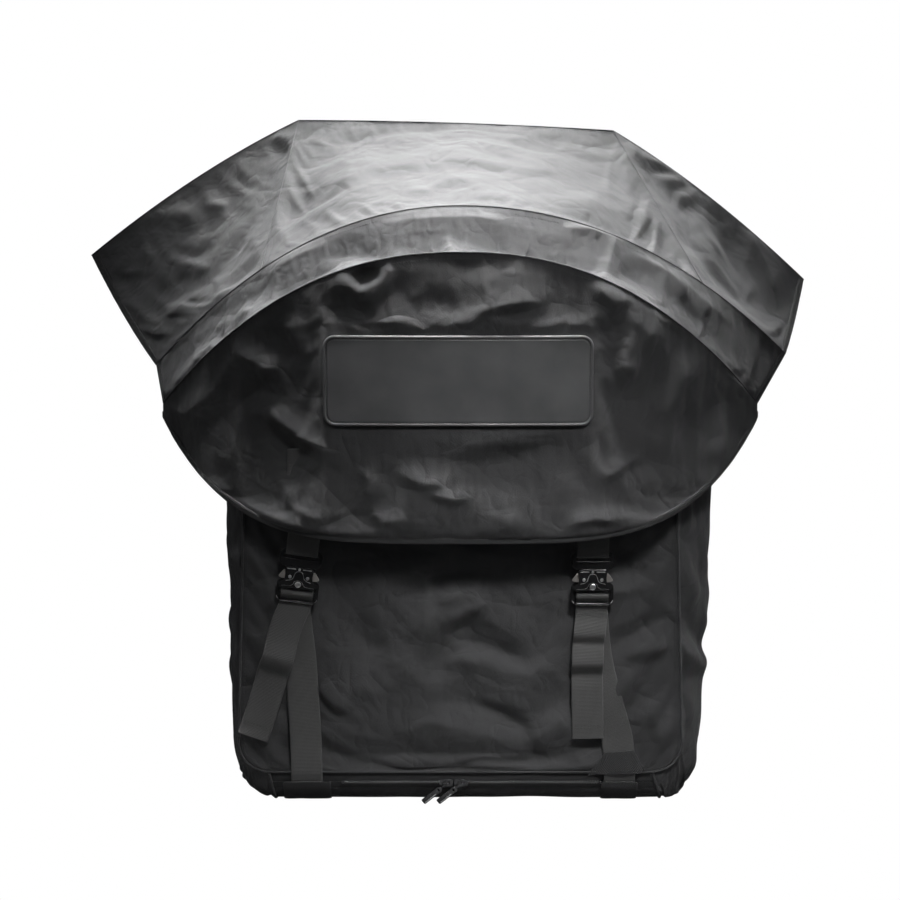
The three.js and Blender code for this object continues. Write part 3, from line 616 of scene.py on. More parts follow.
def frontFace(x, z):
    share = (z - size["seamZ"]) / (size["mouthFront"] - size["seamZ"])
    half = frontHalf(z)
    return Vector((x, size["frontY"] - size["frontSwell"] * (1 - (x / half) ** 2)
                   * math.sin(math.pi * share) - slack(0.5 + x / (2 * half), share, 1), z))


def mouthAt(y):
    return mix(size["mouthFront"], size["mouthBack"],
               ease((y - size["sideMiddleY"]) / (size["backY"] - size["sideMiddleY"])))


def bandPoint(side, t, s):
    bow = math.sin(s * math.pi) if s <= 0.5 else 1
    rest = 0 if s <= 0.5 else (s - 0.5) * 2
    onSide = 1 if t <= 1 else (2 - t if t < 2 else 0)
    turnY = mix(size["baseFrontY"], size["sideMiddleY"], ease(onSide))
    if s <= 0.5:
        y = size["frontY"] + (turnY - size["frontY"]) * (1 - math.cos(s * math.pi))
    else:
        y = mix(turnY, size["backY"], rest)
    top = mouthAt(y) if t <= 1 else 0

    def straight(half, low, corner):
        if t <= 1:
            z = mix(top, low + corner, t)
            return half(z), z
        angle = (min(t, 2) - 1) * math.pi / 2
        x = half(low + corner) - corner + corner * math.cos(angle)
        z = low + corner - corner * math.sin(angle)
        return ((half(low + corner) - corner) * (3 - t), low) if t > 2 else (x, z)

    front = straight(lambda z: frontHalf(max(z, size["seamZ"] + size["frontCorner"])), size["seamZ"],
                     size["frontCorner"])
    widest = straight(lambda z: size["sideHalf"][side], 0, size["outerCorner"])
    rear = straight(lambda z: size["backHalf"], 0, size["outerCorner"])
    x = mix(mix(front[0], widest[0], bow), rear[0], rest ** 1.5)
    z = mix(mix(front[1], widest[1], bow), rear[1], rest ** 1.5)
    return Vector((side * x, y, z))


def heightShare(z):
    return math.asin(1 - z / size["seamZ"]) / math.pi


def bend(a, power):
    return 1 - abs(a) ** power


def ridgePoint(u):
    word = "Left" if u < 0 else "Right"
    half, low = lid["ridge" + word], lid["ridgeEnd" + word]
    return Vector((u * half, mix(lid["ridgeEndY"], lid["ridgeFrontY"], bend(u, 2.5)),
                   mix(low, lid["ridgeZ"], bend(u, 2.08))))


def flapSeamPoint(u):
    return Vector((u * lid["flapHalf"], mix(lid["flapEndY"], lid["flapFrontY"], bend(u, 4)),
                   mix(lid["seamEnd"], lid["seamZ"], bend(u, 2.3))))


def hemPoint(u):
    y = mix(lid["flapEndY"], lid["flapFrontY"] + lid["hemBack"], bend(u, 4.5))
    return Vector((u * lid["flapHalf"], y, mix(lid["hemEnd"], lid["hemZ"], bend(u, 4))))


# how far a place on the flap lies outside the patch
def pastPatch(p):
    return max(abs(p.x - patch["x"]) - patch["width"] / 2, abs(p.z - patch["z"]) - patch["height"] / 2)


def flapPoint(u, v):
    p = flapSeamPoint(u).lerp(hemPoint(u), v)
    free = ease((pastPatch(p) - 14) / 42)
    p.y -= lid["flapSwell"] * math.sin(math.pi * v) * (1 - u * u) + free * slack((u + 1) / 2, v, 2)
    return p


def inward(p, amount):
    return p + (centre - p).normalized() * amount


def gussetPoint(u, v):
    p = ridgePoint(u).lerp(flapSeamPoint(u), v)
    return inward(p, lid["fold"] * math.sin(math.pi * v) * math.sqrt(max(0, 1 - u * u)))


def lineOf(a, b, sag=0):
    return lambda t: a.lerp(b, t) + Vector((0, 0, sag * 4 * t * (1 - t)))


# a patch between four edges: front and back run with u, left and right run with v from front
# to back
def coons(front, back, left, right):
    def at(u, v):
        p = front(u).lerp(back(u), v) + left(v).lerp(right(v), u)
        corner = front(0).lerp(front(1), u).lerp(back(0).lerp(back(1), u), v)
        return p - corner
    return at


footLeft = -lid["footLeft"] / lid["ridgeLeft"]
footRight = lid["footRight"] / lid["ridgeRight"]
peakL = Vector((-lid["peakLeft"][0], size["backY"], lid["peakLeft"][1]))
peakR = Vector((lid["peakRight"][0], size["backY"], lid["peakRight"][1]))
tipL = Vector((-lid["tipLeft"][0], size["backY"], lid["tipLeft"][1]))
tipR = Vector((lid["tipRight"][0], size["backY"], lid["tipRight"][1]))
footL, footR = ridgePoint(footLeft), ridgePoint(footRight)
topPatch = coons(lambda u: ridgePoint(mix(footLeft, footRight, u)), lineOf(peakL, peakR, 3),
                 lineOf(footL, peakL), lineOf(footR, peakR))
rearL, rearR = lineOf(tipL, peakL, lid["rearBow"]), lineOf(tipR, peakR, lid["rearBow"])
wingPatch = {
    "left": coons(lambda u: ridgePoint(mix(-1, footLeft, u)), rearL, lineOf(ridgePoint(-1), tipL, -7),
                  lineOf(footL, peakL)),
    "right": coons(lambda u: ridgePoint(mix(1, footRight, u)), rearR, lineOf(ridgePoint(1), tipR, -7),
                   lineOf(footR, peakR)),
}


def topPoint(u, v):
    p = topPatch(u, v)
    p.z += lid["topSwell"] * math.sin(math.pi * u) * math.sin(math.pi * v)
    return inward(p, 1.3 * slack(u, v, 3))


def wingPoint(word):
    def at(u, v):
        return inward(wingPatch[word](u, v), slack(u, v, 4))
    return at


# the canvas panels
clothDefault = {
    "excess": 0.008, "quality": 4, "frames": 16, "gravity": 0.4, "mass": 0.3, "stretch": 25,
    "shear": 8, "bending": 0.6, "damping": 12, "airDamping": 2, "pinned": 50, "cap": 9,
}
zipShare = {"low": heightShare(29), "high": heightShare(20)}
folds = {
    "top": [
        (5, 14, 5, [(297, 197), (330, 186), (358, 178), (389, 161)]),
        (-5, 12, 6, [(279, 231), (305, 211), (330, 196), (352, 187)]),
        (4, 7, 10, [(281, 236), (312, 214), (352, 192), (380, 186)]),
        (3, 10, 4, [(305, 138), (320, 145), (341, 151)]),
        (3, 12, 5, [(360, 165), (385, 170), (415, 163), (440, 166)]),
        (3, 10, 5, [(330, 160), (352, 168), (381, 164)]),
        (4, 14, 6, [(440, 132), (463, 137), (491, 142), (537, 141)]),
        (3, 16, 6, [(440, 159), (491, 167), (547, 173), (583, 178)]),
        (3, 12, 4, [(440, 178), (463, 179), (487, 188)]), (3, 4, 12, [(452, 193), (487, 188)]),
        (3, 8, 5, [(465, 202), (501, 197), (537, 207)]),
        (5, 12, 6, [(593, 180), (619, 195), (648, 222), (664, 248)]),
        (-9, 9, 7, [(537, 204), (583, 215), (613, 225), (652, 247), (698, 279), (728, 307)]),
        (3, 9, 4, [(395, 195), (425, 190), (455, 176)]), (3, 5, 9, [(415, 150), (450, 153), (478, 149)]),
        (3, 8, 4, [(545, 155), (580, 152), (604, 160)]),
        (-3, 12, 12, [(410, 180), (440, 188), (480, 176)]), (3, 9, 4, [(350, 215), (385, 203), (420, 200)]),
    ],
    "wing_right": [
        (4, 8, 5, [(620, 145), (640, 158), (662, 170)]), (6, 7, 4, [(650, 163), (668, 170), (686, 172)]),
        (6, 8, 4, [(652, 178), (672, 183), (690, 181)]),
        (5, 8, 5, [(668, 196), (686, 199), (700, 196)]),
        (-9, 10, 8, [(716, 214), (722, 232), (734, 255), (752, 285)]),
        (6, 10, 6, [(745, 226), (757, 255), (778, 300)]),
        (-5, 10, 10, [(700, 262), (735, 290), (778, 318)]), (5, 7, 7, [(688, 210), (704, 238), (728, 262)]),
        (4, 8, 5, [(640, 190), (662, 214), (690, 240)]),
    ],
    "wing_left": [
        (4, 9, 5, [(262, 226), (240, 256), (217, 274)]), (4, 8, 5, [(217, 274), (196, 266), (178, 262)]),
        (5, 9, 6, [(214, 286), (190, 303), (156, 326)]),
        (6, 6, 5, [(268, 136), (288, 142), (303, 129)]), (-5, 8, 8, [(272, 145), (288, 151), (300, 146)]),
        (-3, 10, 10, [(250, 168), (253, 182), (250, 196)]),
        (3, 5, 3, [(203, 207), (217, 206), (231, 206)]), (4, 12, 18, [(170, 205), (172, 226), (173, 250)]),
        (3, 4, 3, [(117, 262), (124, 274), (150, 272)]),
        (-4, 9, 9, [(222, 268), (236, 252), (250, 236)]), (4, 9, 6, [(219, 276), (222, 296), (214, 310)]),
    ],
    "gusset": [
        (-10, 9, 7, [(316, 258), (345, 249), (375, 251), (404, 254)]),
        (-10, 9, 6, [(398, 253), (425, 249), (450, 250)]), (4, 5, 5, [(447, 236), (451, 254)]),
        (-13, 13, 7, [(456, 251), (490, 251), (525, 253), (562, 263), (604, 278)]),
        (6, 8, 8, [(616, 230), (609, 256), (603, 286)]),
        (5, 10, 6, [(616, 236), (590, 231), (556, 229)]),
        (-7, 7, 6, [(262, 303), (300, 280), (322, 269), (345, 258)]), (4, 6, 6, [(238, 320), (254, 308)]),
        (-6, 9, 9, [(664, 296), (700, 345), (728, 375), (750, 396)]),
        (6, 10, 12, [(664, 272), (700, 302), (740, 335)]), (5, 9, 6, [(262, 285), (292, 262), (330, 243)]),
        (5, 9, 12, [(360, 232), (412, 221), (470, 219), (530, 224)]),
        (-6, 10, 6, [(618, 268), (632, 274), (650, 286)]), (4, 6, 5, [(170, 392), (200, 358), (232, 324)]),
        (-4, 6, 6, [(196, 372), (222, 340), (250, 312)]), (4, 6, 6, [(640, 256), (668, 276), (690, 306)]),
    ],
    "flap": [
        (6, 7, 9, [(338, 268), (345, 281), (361, 291), (379, 282), (391, 264)]),
        (-7, 10, 10, [(352, 274), (366, 279), (380, 271)]),
        (6, 16, 9, [(284, 314), (292, 338), (306, 362)]),
        (-6, 14, 12, [(268, 322), (282, 346), (300, 368)]),
        (6, 12, 6, [(596, 282), (606, 296), (614, 303), (631, 294)]),
        (7, 16, 30, [(661, 307), (642, 350), (619, 394)]), (6, 12, 5, [(264, 407), (300, 436), (328, 449)]),
        (-5, 6, 14, [(262, 424), (296, 452), (322, 462)]),
        (4, 8, 5, [(279, 473), (292, 505), (315, 519), (335, 514)]),
        (4, 7, 5, [(371, 504), (381, 522), (404, 519)]), (4, 8, 4, [(425, 493), (453, 500), (470, 497)]),
        (-8, 22, 22, [(455, 472), (520, 457), (585, 427)]),
        (5, 14, 12, [(450, 446), (505, 439), (560, 432)]), (5, 7, 5, [(600, 482), (618, 468), (638, 453)]),
        (5, 8, 5, [(565, 526), (593, 519), (626, 520)]),
        (5, 10, 8, [(238, 498), (262, 514), (290, 525), (322, 529)]),
        (4, 10, 5, [(470, 316), (500, 306), (545, 300)]),
        (-5, 14, 14, [(330, 305), (352, 316), (380, 312)]),
        (5, 10, 8, [(240, 350), (262, 368), (282, 366)]),
        (-4, 10, 10, [(232, 400), (258, 392), (286, 398)]),
        (4, 9, 5, [(360, 466), (372, 484), (362, 498)]), (4, 8, 5, [(396, 470), (420, 484), (450, 482)]),
        (5, 16, 12, [(690, 352), (676, 392), (650, 430)]),
        (-4, 14, 14, [(720, 380), (700, 420), (668, 456)]), (3, 8, 4, [(632, 330), (622, 352), (617, 390)]),
    ],
    "front": [
        (9, 26, 16, [(466, 590), (432, 630), (408, 664), (380, 694)]),
        (-9, 14, 24, [(478, 612), (450, 646), (420, 680)]),
        (7, 14, 4, [(318, 684), (335, 702), (350, 713)]),
        (5, 12, 5, [(440, 603), (466, 592), (484, 598)]), (5, 10, 6, [(440, 628), (466, 612), (494, 600)]),
        (-8, 14, 8, [(455, 640), (490, 650), (528, 666)]),
        (8, 6, 22, [(440, 664), (481, 656), (501, 664), (526, 673), (545, 664), (566, 660)]),
        (-7, 6, 13, [(462, 702), (493, 712), (507, 716), (522, 726), (530, 741)]),
        (6, 8, 16, [(526, 745), (548, 726), (572, 710)]), (7, 8, 14, [(676, 641), (650, 648), (618, 655)]),
        (-7, 9, 8, [(670, 612), (642, 632), (608, 648)]),
        (4, 6, 6, [(245, 629), (262, 641), (274, 652)]), (-6, 10, 6, [(330, 756), (440, 757), (560, 756)]),
        (6, 20, 14, [(352, 590), (400, 570), (446, 560)]),
        (5, 18, 14, [(640, 700), (655, 724), (664, 748)]),
        (-5, 14, 12, [(350, 624), (372, 650), (390, 640)]),
        (5, 12, 8, [(395, 735), (430, 722), (462, 728)]),
        (4, 8, 5, [(590, 590), (622, 592), (650, 584)]), (-6, 10, 10, [(560, 560), (590, 560), (640, 556)]),
        (5, 14, 8, [(262, 590), (280, 606), (290, 630)]),
        (5, 10, 14, [(640, 664), (620, 690), (612, 720)]), (4, 10, 5, [(405, 640), (425, 622), (436, 604)]),
    ],
    "side_right": [
        (8, 14, 8, [(676, 641), (690, 655), (706, 672)]),
        (-7, 10, 10, [(684, 628), (698, 640), (710, 656)]), (6, 6, 6, [(682, 690), (690, 706), (684, 726)]),
        (5, 8, 8, [(684, 560), (694, 590), (706, 604)]), (4, 5, 5, [(678, 553), (688, 557), (700, 552)]),
    ],
    "side_left": [(6, 4, 10, [(228, 556), (238, 558), (252, 560)]),
                  (5, 6, 8, [(232, 600), (240, 640), (236, 690)]),
                  (-4, 8, 8, [(244, 600), (246, 630), (240, 660)])],
}
panel("top_cloth", topPoint, spread(130), spread(66), "lid_top",
      {"cloth": clothDefault, "crease": 4.0, "seed": 1.0, "folds": folds["top"]})
for word in ("left", "right"):
    panel(f"wing_cloth_{word}", wingPoint(word), spread(52), spread(60), f"lid_wing_{word}",
          {"cloth": clothDefault, "crease": 3.6, "seed": 2.0, "folds": folds[f"wing_{word}"]})
panel("gusset_cloth", gussetPoint, spread(220, -1, 1), spread(34), "lid_gusset",
      {"cloth": dict(clothDefault, excess=0.012), "crease": 3.0, "seed": 3.0, "folds": folds["gusset"],
       "foldEdge": 2})


# the flap lies flat behind the patch and creases freely away from it
def calmBehindPatch(u, v):
    return ease((pastPatch(flapPoint(u, v)) - 2) / 30)


def sewnToPatch(u, v):
    return calmBehindPatch(u, v) < 0.02


panel("flap_cloth", flapPoint, spread(170, -1, 1), spread(86, 0, 0.985), "lid_flap",
      {"cloth": clothDefault, "crease": 3.2, "seed": 4.0, "calm": calmBehindPatch,
       "pin": sewnToPatch, "folds": folds["flap"]})


def frontPoint(u, v):
    z = mix(size["mouthFront"], size["seamZ"], v)
    return frontFace(u * frontHalf(z), z)


panel("front_cloth", frontPoint, spread(120, -1, 1), spread(104), "front_panel",
      {"cloth": clothDefault, "crease": 4.0, "seed": 5.0, "folds": folds["front"], "foldScale": 1.15})
for side, word in ((-1, "left"), (1, "right")):
    panel(f"side_cloth_{word}", lambda t, s, side=side: bandPoint(side, t, s), spread(100, 0, 2.0),
          spread(50), f"side_gusset_{word}",
          {"cloth": dict(clothDefault, excess=0.012), "crease": 4.0, "seed": 6.0 + side,
           "folds": folds[f"side_{word}"]})


def basePoint(u, v):
    side = -1 if u < 0 else 1
    return bandPoint(side, 3 - abs(u), v)


panel("base_cloth", basePoint, spread(110, -1, 1), spread(50, zipShare["high"], 1), "base_panel",
      {"crease": 1.5, "seed": 8.0})


# the flat back: width at a height from the base corners, the sides and the lid's rear lines
def backPoint(u, v):
    half = size["backHalf"]
    x = u * half
    if u < -lid["peakLeft"][0] / half:
        t = (x - tipL.x) / (peakL.x - tipL.x)
        top = rearL(t).z
    elif u > lid["peakRight"][0] / half:
        t = (x - tipR.x) / (peakR.x - tipR.x)
        top = rearR(t).z
    else:
        top = mix(peakL.z, peakR.z, (x - peakL.x) / (peakR.x - peakL.x))
    corner = size["outerCorner"]
    past = abs(x) - (half - corner)
    low = corner - math.sqrt(max(0, corner ** 2 - past ** 2)) if past > 0 else 0
    return Vector((x, size["backY"] + 1.3, mix(low, top, v)))


panel("back_cloth", backPoint, spread(110, -1, 1), spread(150), "back_panel",
      {"crease": 1.2, "seed": 9.0, "thick": 2.0})
say("canvas panels")


# sewn trims, webbing, buckles and zip
def finished(obj, node=None, body="bag"):
    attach(obj, body)
    if node:
        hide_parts(*([node] if isinstance(node, str) else node))
    return obj


def outward(mesh):
    build = bmesh.new()
    build.from_mesh(mesh)
    bmesh.ops.recalc_face_normals(build, faces=build.faces)
    build.to_mesh(mesh)
    build.free()


# a closed profile carried along frames of (origin, first axis, second axis), with a flat end
# at each side
def sweep(name, frames, profile, material, smooth=True):
    count = len(profile)
    girth = [0.0]
    for i in range(count):
        girth.append(girth[-1] + math.dist(profile[i], profile[(i + 1) % count]))
    points, uvs, faces, run = [], [], [], 0.0
    for k, (origin, first, second) in enumerate(frames):
        if k:
            run += (origin - frames[k - 1][0]).length
        for i, (a, b) in enumerate(profile):
            points.append(origin + first * a + second * b)
            uvs.append((girth[i] * mm, run * mm))
    for k in range(len(frames) - 1):
        for i in range(count):
            j = (i + 1) % count
            faces.append((k * count + i, k * count + j, (k + 1) * count + j, (k + 1) * count + i))
    faces.append(tuple(reversed(range(count))))
    faces.append(tuple((len(frames) - 1) * count + i for i in range(count)))
    obj = meshObject(name, points, faces, material, uvs, smooth)
    outward(obj.data)
    return obj


# frames along a route: the first axis lies across it, the second one faces out
def framesAlong(points, facing):
    frames = []
    for k, p in enumerate(points):
        run = (points[min(len(points) - 1, k + 1)] - points[max(0, k - 1)]).normalized()
        face = facing[k] if isinstance(facing, list) else facing(p)
        face = (face - run * face.dot(run)).normalized()
        frames.append((p, run.cross(face), face))
    return frames


def ring(radius, sides=10, flat=1.0):
    return [(radius * math.cos(2 * math.pi * i / sides),
             radius * flat * math.sin(2 * math.pi * i / sides)) for i in range(sides)]


# points and side directions along a soft curve through the stops
def smoothRoute(stops, spacing):
    places = [s[0] for s in stops]
    sides = [s[1] for s in stops]
    out = []
    for k in range(len(places) - 1):
        p = [places[max(0, k - 1)], places[k], places[k + 1], places[min(len(places) - 1, k + 2)]]
        count = max(2, int((p[2] - p[1]).length / spacing))
        for i in range(count):
            t = i / count
            knots = [0.0]
            for a, b in zip(p, p[1:]):
                knots.append(knots[-1] + max(1e-3, (b - a).length) ** 0.5)
            at = mix(knots[1], knots[2], t)
            a = [p[j].lerp(p[j + 1], (at - knots[j]) / (knots[j + 1] - knots[j])) for j in range(3)]
            b = [a[j].lerp(a[j + 1], (at - knots[j]) / (knots[j + 2] - knots[j])) for j in range(2)]
            place = b[0].lerp(b[1], (at - knots[1]) / (knots[2] - knots[1]))
            out.append((place, sides[k].lerp(sides[k + 1], t).normalized()))
    out.append((places[-1], sides[-1].normalized()))
    return out


webbing = {"width": 38, "thick": 1.5, "spacing": 2.2, "columns": 14}


# section of a woven band, a little thicker in the middle of each edge
def bandProfile(width, thick, columns):
    top = []
    for i in range(columns + 1):
        a = mix(-width / 2, width / 2, i / columns)
        edge = 1 if 0 < i < columns else 0.45
        top.append((a, thick / 2 * edge))
    return top + [(a, -b) for a, b in reversed(top)]


def webbingPiece(name, stops, node, width=None, body="bag", wave=0.35, seed=0.0, material=None):
    route = smoothRoute(stops, webbing["spacing"])
    points = [p for p, _ in route]
    frames = []
    for k, (p, side) in enumerate(route):
        run = (points[min(len(points) - 1, k + 1)] - points[max(0, k - 1)]).normalized()
        across = (side - run * side.dot(run)).normalized()
        face = run.cross(across)
        frames.append((p, across, face))
    wide = width or webbing["width"]
    profile = bandProfile(wide, webbing["thick"], webbing["columns"])
    obj = sweep(name, frames, profile, material or webbingMat)
    count = len(profile)
    for k, (p, across, face) in enumerate(frames):
        for i, (a, b) in enumerate(profile):
            lift = wave * noise.noise(Vector((a * 0.05 + seed, k * webbing["spacing"] * 0.035, seed)))
            edge = 0
            if abs(a) > wide * 0.45:
                edge = 0.25 * noise.noise(Vector((k * 0.31, seed, 9.0 if a > 0 else 4.0)))
            obj.data.vertices[k * count + i].co += (face * lift + across * edge) * mm
    smooth = obj.modifiers.new("soften", "SUBSURF")
    smooth.levels = smooth.render_levels = 1
    return finished(obj, node, body)


# nearest place on a finished piece, as a point in mm and its outward normal
def surfaceOf(obj):
    graph = bpy.context.evaluated_depsgraph_get()
    tree = BVHTree.FromObject(obj, graph)

    def at(p):
        place, normal, index, away = tree.find_nearest(Vector(p) * mm)
        return place / mm, outOf(place, normal)
    return at


# the place on a piece that is first met from the front, as a point in mm and its normal
def frontRay(obj):
    tree = BVHTree.FromObject(obj, bpy.context.evaluated_depsgraph_get())

    def at(p):
        place, normal, index, away = tree.ray_cast(Vector((p[0], -300, p[2])) * mm, Vector((0, 1, 0)))
        if place is None:
            place, normal, index, away = tree.find_nearest(Vector(p) * mm)
        return place / mm, Vector((0, -1, 0)) if normal.y > 0 else normal
    return at


# a row of sewn stitches along a route, laid on a surface
def dashes(name, route, at=None, long=2.6, gap=1.2, radius=0.42, lift=0.25, material=None,
           body="bag", toward=None):
    lengths = [0.0]
    for a, b in zip(route, route[1:]):
        lengths.append(lengths[-1] + (b - a).length)

    def place(run):
        k = 0
        while k < len(route) - 2 and lengths[k + 1] < run:
            k += 1
        return route[k].lerp(route[k + 1],
                             clamp((run - lengths[k]) / max(1e-6, lengths[k + 1] - lengths[k])))

    points, faces = [], []
    run = gap
    sides = 5
    marks = []
    while run + long < lengths[-1]:
        marks.append(run)
        run += long + gap
    for run in marks:
        a, b = place(run), place(run + long)
        normal = toward or (a - centre).normalized()
        if at:
            (a, normal), (b, _) = at(a), at(b)
        direction = (b - a).normalized()
        across = direction.cross(normal).normalized()
        base = len(points)
        for share, wide in ((0, 0.35), (0.16, 0.9), (0.5, 1.0), (0.84, 0.9), (1, 0.35)):
            middle = a.lerp(b, share) + normal * (lift - 0.25 * radius * abs(share - 0.5))
            for i in range(sides):
                turn = 2 * math.pi * i / sides
                points.append(middle + across * (radius * wide * math.cos(turn)) + normal
                              * (radius * wide * 0.7 * math.sin(turn)))
        for step in range(4):
            for i in range(sides):
                j = (i + 1) % sides
                faces.append((base + step * sides + i, base + step * sides + j,
                              base + (step + 1) * sides + j, base + (step + 1) * sides + i))
        faces.append(tuple(base + i for i in reversed(range(sides))))
        faces.append(tuple(base + 4 * sides + i for i in range(sides)))
    obj = meshObject(name, points, faces, material or threadMat)
    return finished(obj, None, body)


def bpyPiece(name):
    return bpy.data.objects[name]


# a direction in mm, turned to the outside of the bag
def facingOut(p, direction):
    return direction if direction.dot(p - centre) > 0 else -direction


# bindings on the lid's edges
def hemFrames(count=260):
    frames = []
    for u in spread(count, -1, 1):
        low, high = flapPoint(u, 1), flapPoint(u, 0.93)
        up = (high - low).normalized()
        nextOne = flapPoint(min(1, u + 0.01), 1) - flapPoint(max(-1, u - 0.01), 1)
        face = facingOut(low, up.cross(nextOne).normalized())
        ripple = up * (0.35 * noise.noise(Vector((u * 40, 2, 0))))
        swell = face * (0.5 * noise.noise(Vector((u * 26, 5, 1))))
        frames.append((low + ripple + swell, up, face))
    return frames


bindingStitch = 6.2  # from the edge to the row of stitches
bindingProfile = [
    (0.0, -1.3), (0.15, -0.3), (0.8, 0.35), (2.2, 0.5), (4.5, 0.42), (6.6, 0.5), (7.9, 0.35),
    (8.3, -0.1), (8.3, -2.3), (7.9, -2.7), (4.5, -2.8), (1.6, -2.9), (0.4, -2.4),
]
hemBinding = finished(sweep("hem_binding", hemFrames(), bindingProfile, bindingMat), "lid_hem_binding")
hemTop = surfaceOf(hemBinding)
dashes("hem_stitches", [f[0] + f[1] * bindingStitch for f in hemFrames()], hemTop)


def wingEdgeFrames(word, count=90):
    frames = []
    surface = wingPatch[word]
    for v in spread(count, 0.004, 1):
        edge, inside = surface(0, v), surface(0.08, v)
        into = (inside - edge).normalized()
        run = surface(0, min(1, v + 0.01)) - surface(0, max(0, v - 0.01))
        face = facingOut(edge, into.cross(run).normalized())
        frames.append((edge + face * (0.5 * noise.noise(Vector((v * 16, 3, 1)))), into, face))
    return frames


for word in ("left", "right"):
    binding = finished(sweep(f"wing_binding_tape_{word}", wingEdgeFrames(word), bindingProfile, bindingMat),
                       f"wing_binding_{word}")
    dashes(f"wing_stitches_{word}", [f[0] + f[1] * bindingStitch for f in wingEdgeFrames(word)],
           surfaceOf(binding))

# bindings that close the gusset's two ends
for side, word in ((-1, "left"), (1, "right")):
    route = [gussetPoint(side * 0.998, v) for v in spread(24, 0.0, 1.0)]
    frames = []
    for k, p in enumerate(route):
        into = (gussetPoint(side * 0.97, k / 23) - p).normalized()
        run = (route[min(23, k + 1)] - route[max(0, k - 1)]).normalized()
        frames.append((p, into, facingOut(p, into.cross(run).normalized())))
    finished(sweep(f"gusset_end_{word}", frames, [(a * 0.8, b) for a, b in bindingProfile], bindingMat),
             None)


# seams: a folded edge and a row of top stitching beside it
def seam(name, route, radius=1.2, lift=0.4, flat=0.8, material=None):
    places = [p + (p - centre).normalized() * lift for p in route]
    frames = framesAlong(places, lambda p: (p - centre).normalized())
    return finished(sweep(name, frames, ring(radius, 8, flat), material or canvasMat), None)


seam("ridge_seam", [ridgePoint(u) for u in spread(240, -0.995, 0.995)], 0.8, 0.3)
seam("flap_seam", [flapSeamPoint(u) for u in spread(240, -0.995, 0.995)], 1.0, 0.4)
seam("top_seam_left", [footL.lerp(peakL, t) for t in spread(60)], 0.7, 0.1)
seam("top_seam_right", [footR.lerp(peakR, t) for t in spread(60)], 0.7, 0.0)
rearLeft = [rearL(t) for t in spread(40)]
rearMiddle = [peakL.lerp(peakR, t) + Vector((0, 0, 12 * t * (1 - t))) for t in spread(50)]
rearRight = [rearR(1 - t) for t in spread(40)]
seam("rear_seam", rearLeft + rearMiddle[1:] + rearRight[1:], 1.1, -0.4)
for side, word in ((-1, "left"), (1, "right")):
    ends = [basePoint(side, v) for v in spread(30)]
    seam(f"corner_seam_{word}", [p + Vector((side * 0.6, 0, 0.4)) for p in ends], 2.3, 0.0, 1.0)
flapTop = surfaceOf(bpyPiece("flap_cloth"))
gussetTop = surfaceOf(bpyPiece("gusset_cloth"))
lidTop = surfaceOf(bpyPiece("top_cloth"))
dashes("flap_seam_stitches", [flapPoint(u, 0.022) for u in spread(240, -0.97, 0.97)], flapTop)
dashes("ridge_seam_stitches", [gussetPoint(u, 0.09) for u in spread(240, -0.97, 0.97)], gussetTop)
dashes("top_seam_stitches", [topPoint(0.016, v) for v in spread(60, 0.03, 0.97)], lidTop)
say("bindings and seams")


# front seam: a thin piping round the front panel
def frontSeam():
    gap = 1.7
    route = []
    for z in reversed(spread(90, size["seamZ"] + 0.5, size["mouthFront"])):
        route.append(Vector((-frontHalf(z), size["frontY"] - gap, z)))
    edge = frontHalf(size["seamZ"])
    route += [Vector((x, size["frontY"] - gap - 0.4 * noise.noise(Vector((x * 0.03, 1, 1))),
                      size["seamZ"])) for x in spread(80, -edge, edge)]
    for z in spread(90, size["seamZ"] + 0.5, size["mouthFront"]):
        route.append(Vector((frontHalf(z), size["frontY"] - gap, z)))
    return route


pipingRoute = frontSeam()
pipingFrames = framesAlong(pipingRoute, lambda p: Vector((0, -1, 0)))
finished(sweep("front_seam_piping", pipingFrames, ring(1.5, 8), canvasMat), "front_piping")
frontTop = surfaceOf(bpyPiece("front_cloth"))
seamStitch = {"in": 5.5, "half": 260, "turn": 12}  # stitches inside the piping, in mm
insetRoute = []
for p in pipingRoute:
    z, above = p.z, p.z - size["seamZ"]
    if p.z < size["seamZ"] + seamStitch["turn"]:
        z = mix(size["seamZ"] + seamStitch["in"], p.z, clamp(above / seamStitch["turn"]))
    insetRoute.append(Vector((p.x * (1 - seamStitch["in"] / seamStitch["half"]), p.y, z)))
dashes("front_seam_stitches", insetRoute, frontTop)


# buckles
buckle = {
    "right": {"x": 156, "z": 274, "tilt": 0},
    "left": {"x": -192, "z": 277, "tilt": 7.4},
    "y": -151,
    "plate": 2.6, "lever": 2.0, "cover": 3.4, "gap": 0.3, "bevel": 0.45,
}
layerOne = -buckle["plate"] - buckle["gap"]
layerTwo = layerOne - buckle["lever"] - buckle["gap"]
coverFace = layerTwo - buckle["cover"]


def holder(word):
    spot = buckle[word]
    turn = Matrix.Rotation(math.radians(spot["tilt"]), 4, "Y")
    return Matrix.Translation(Vector((spot["x"], buckle["y"], spot["z"]))) @ turn


def inBuckle(word, u, y, w):
    return holder(word) @ Vector((u, y, w))


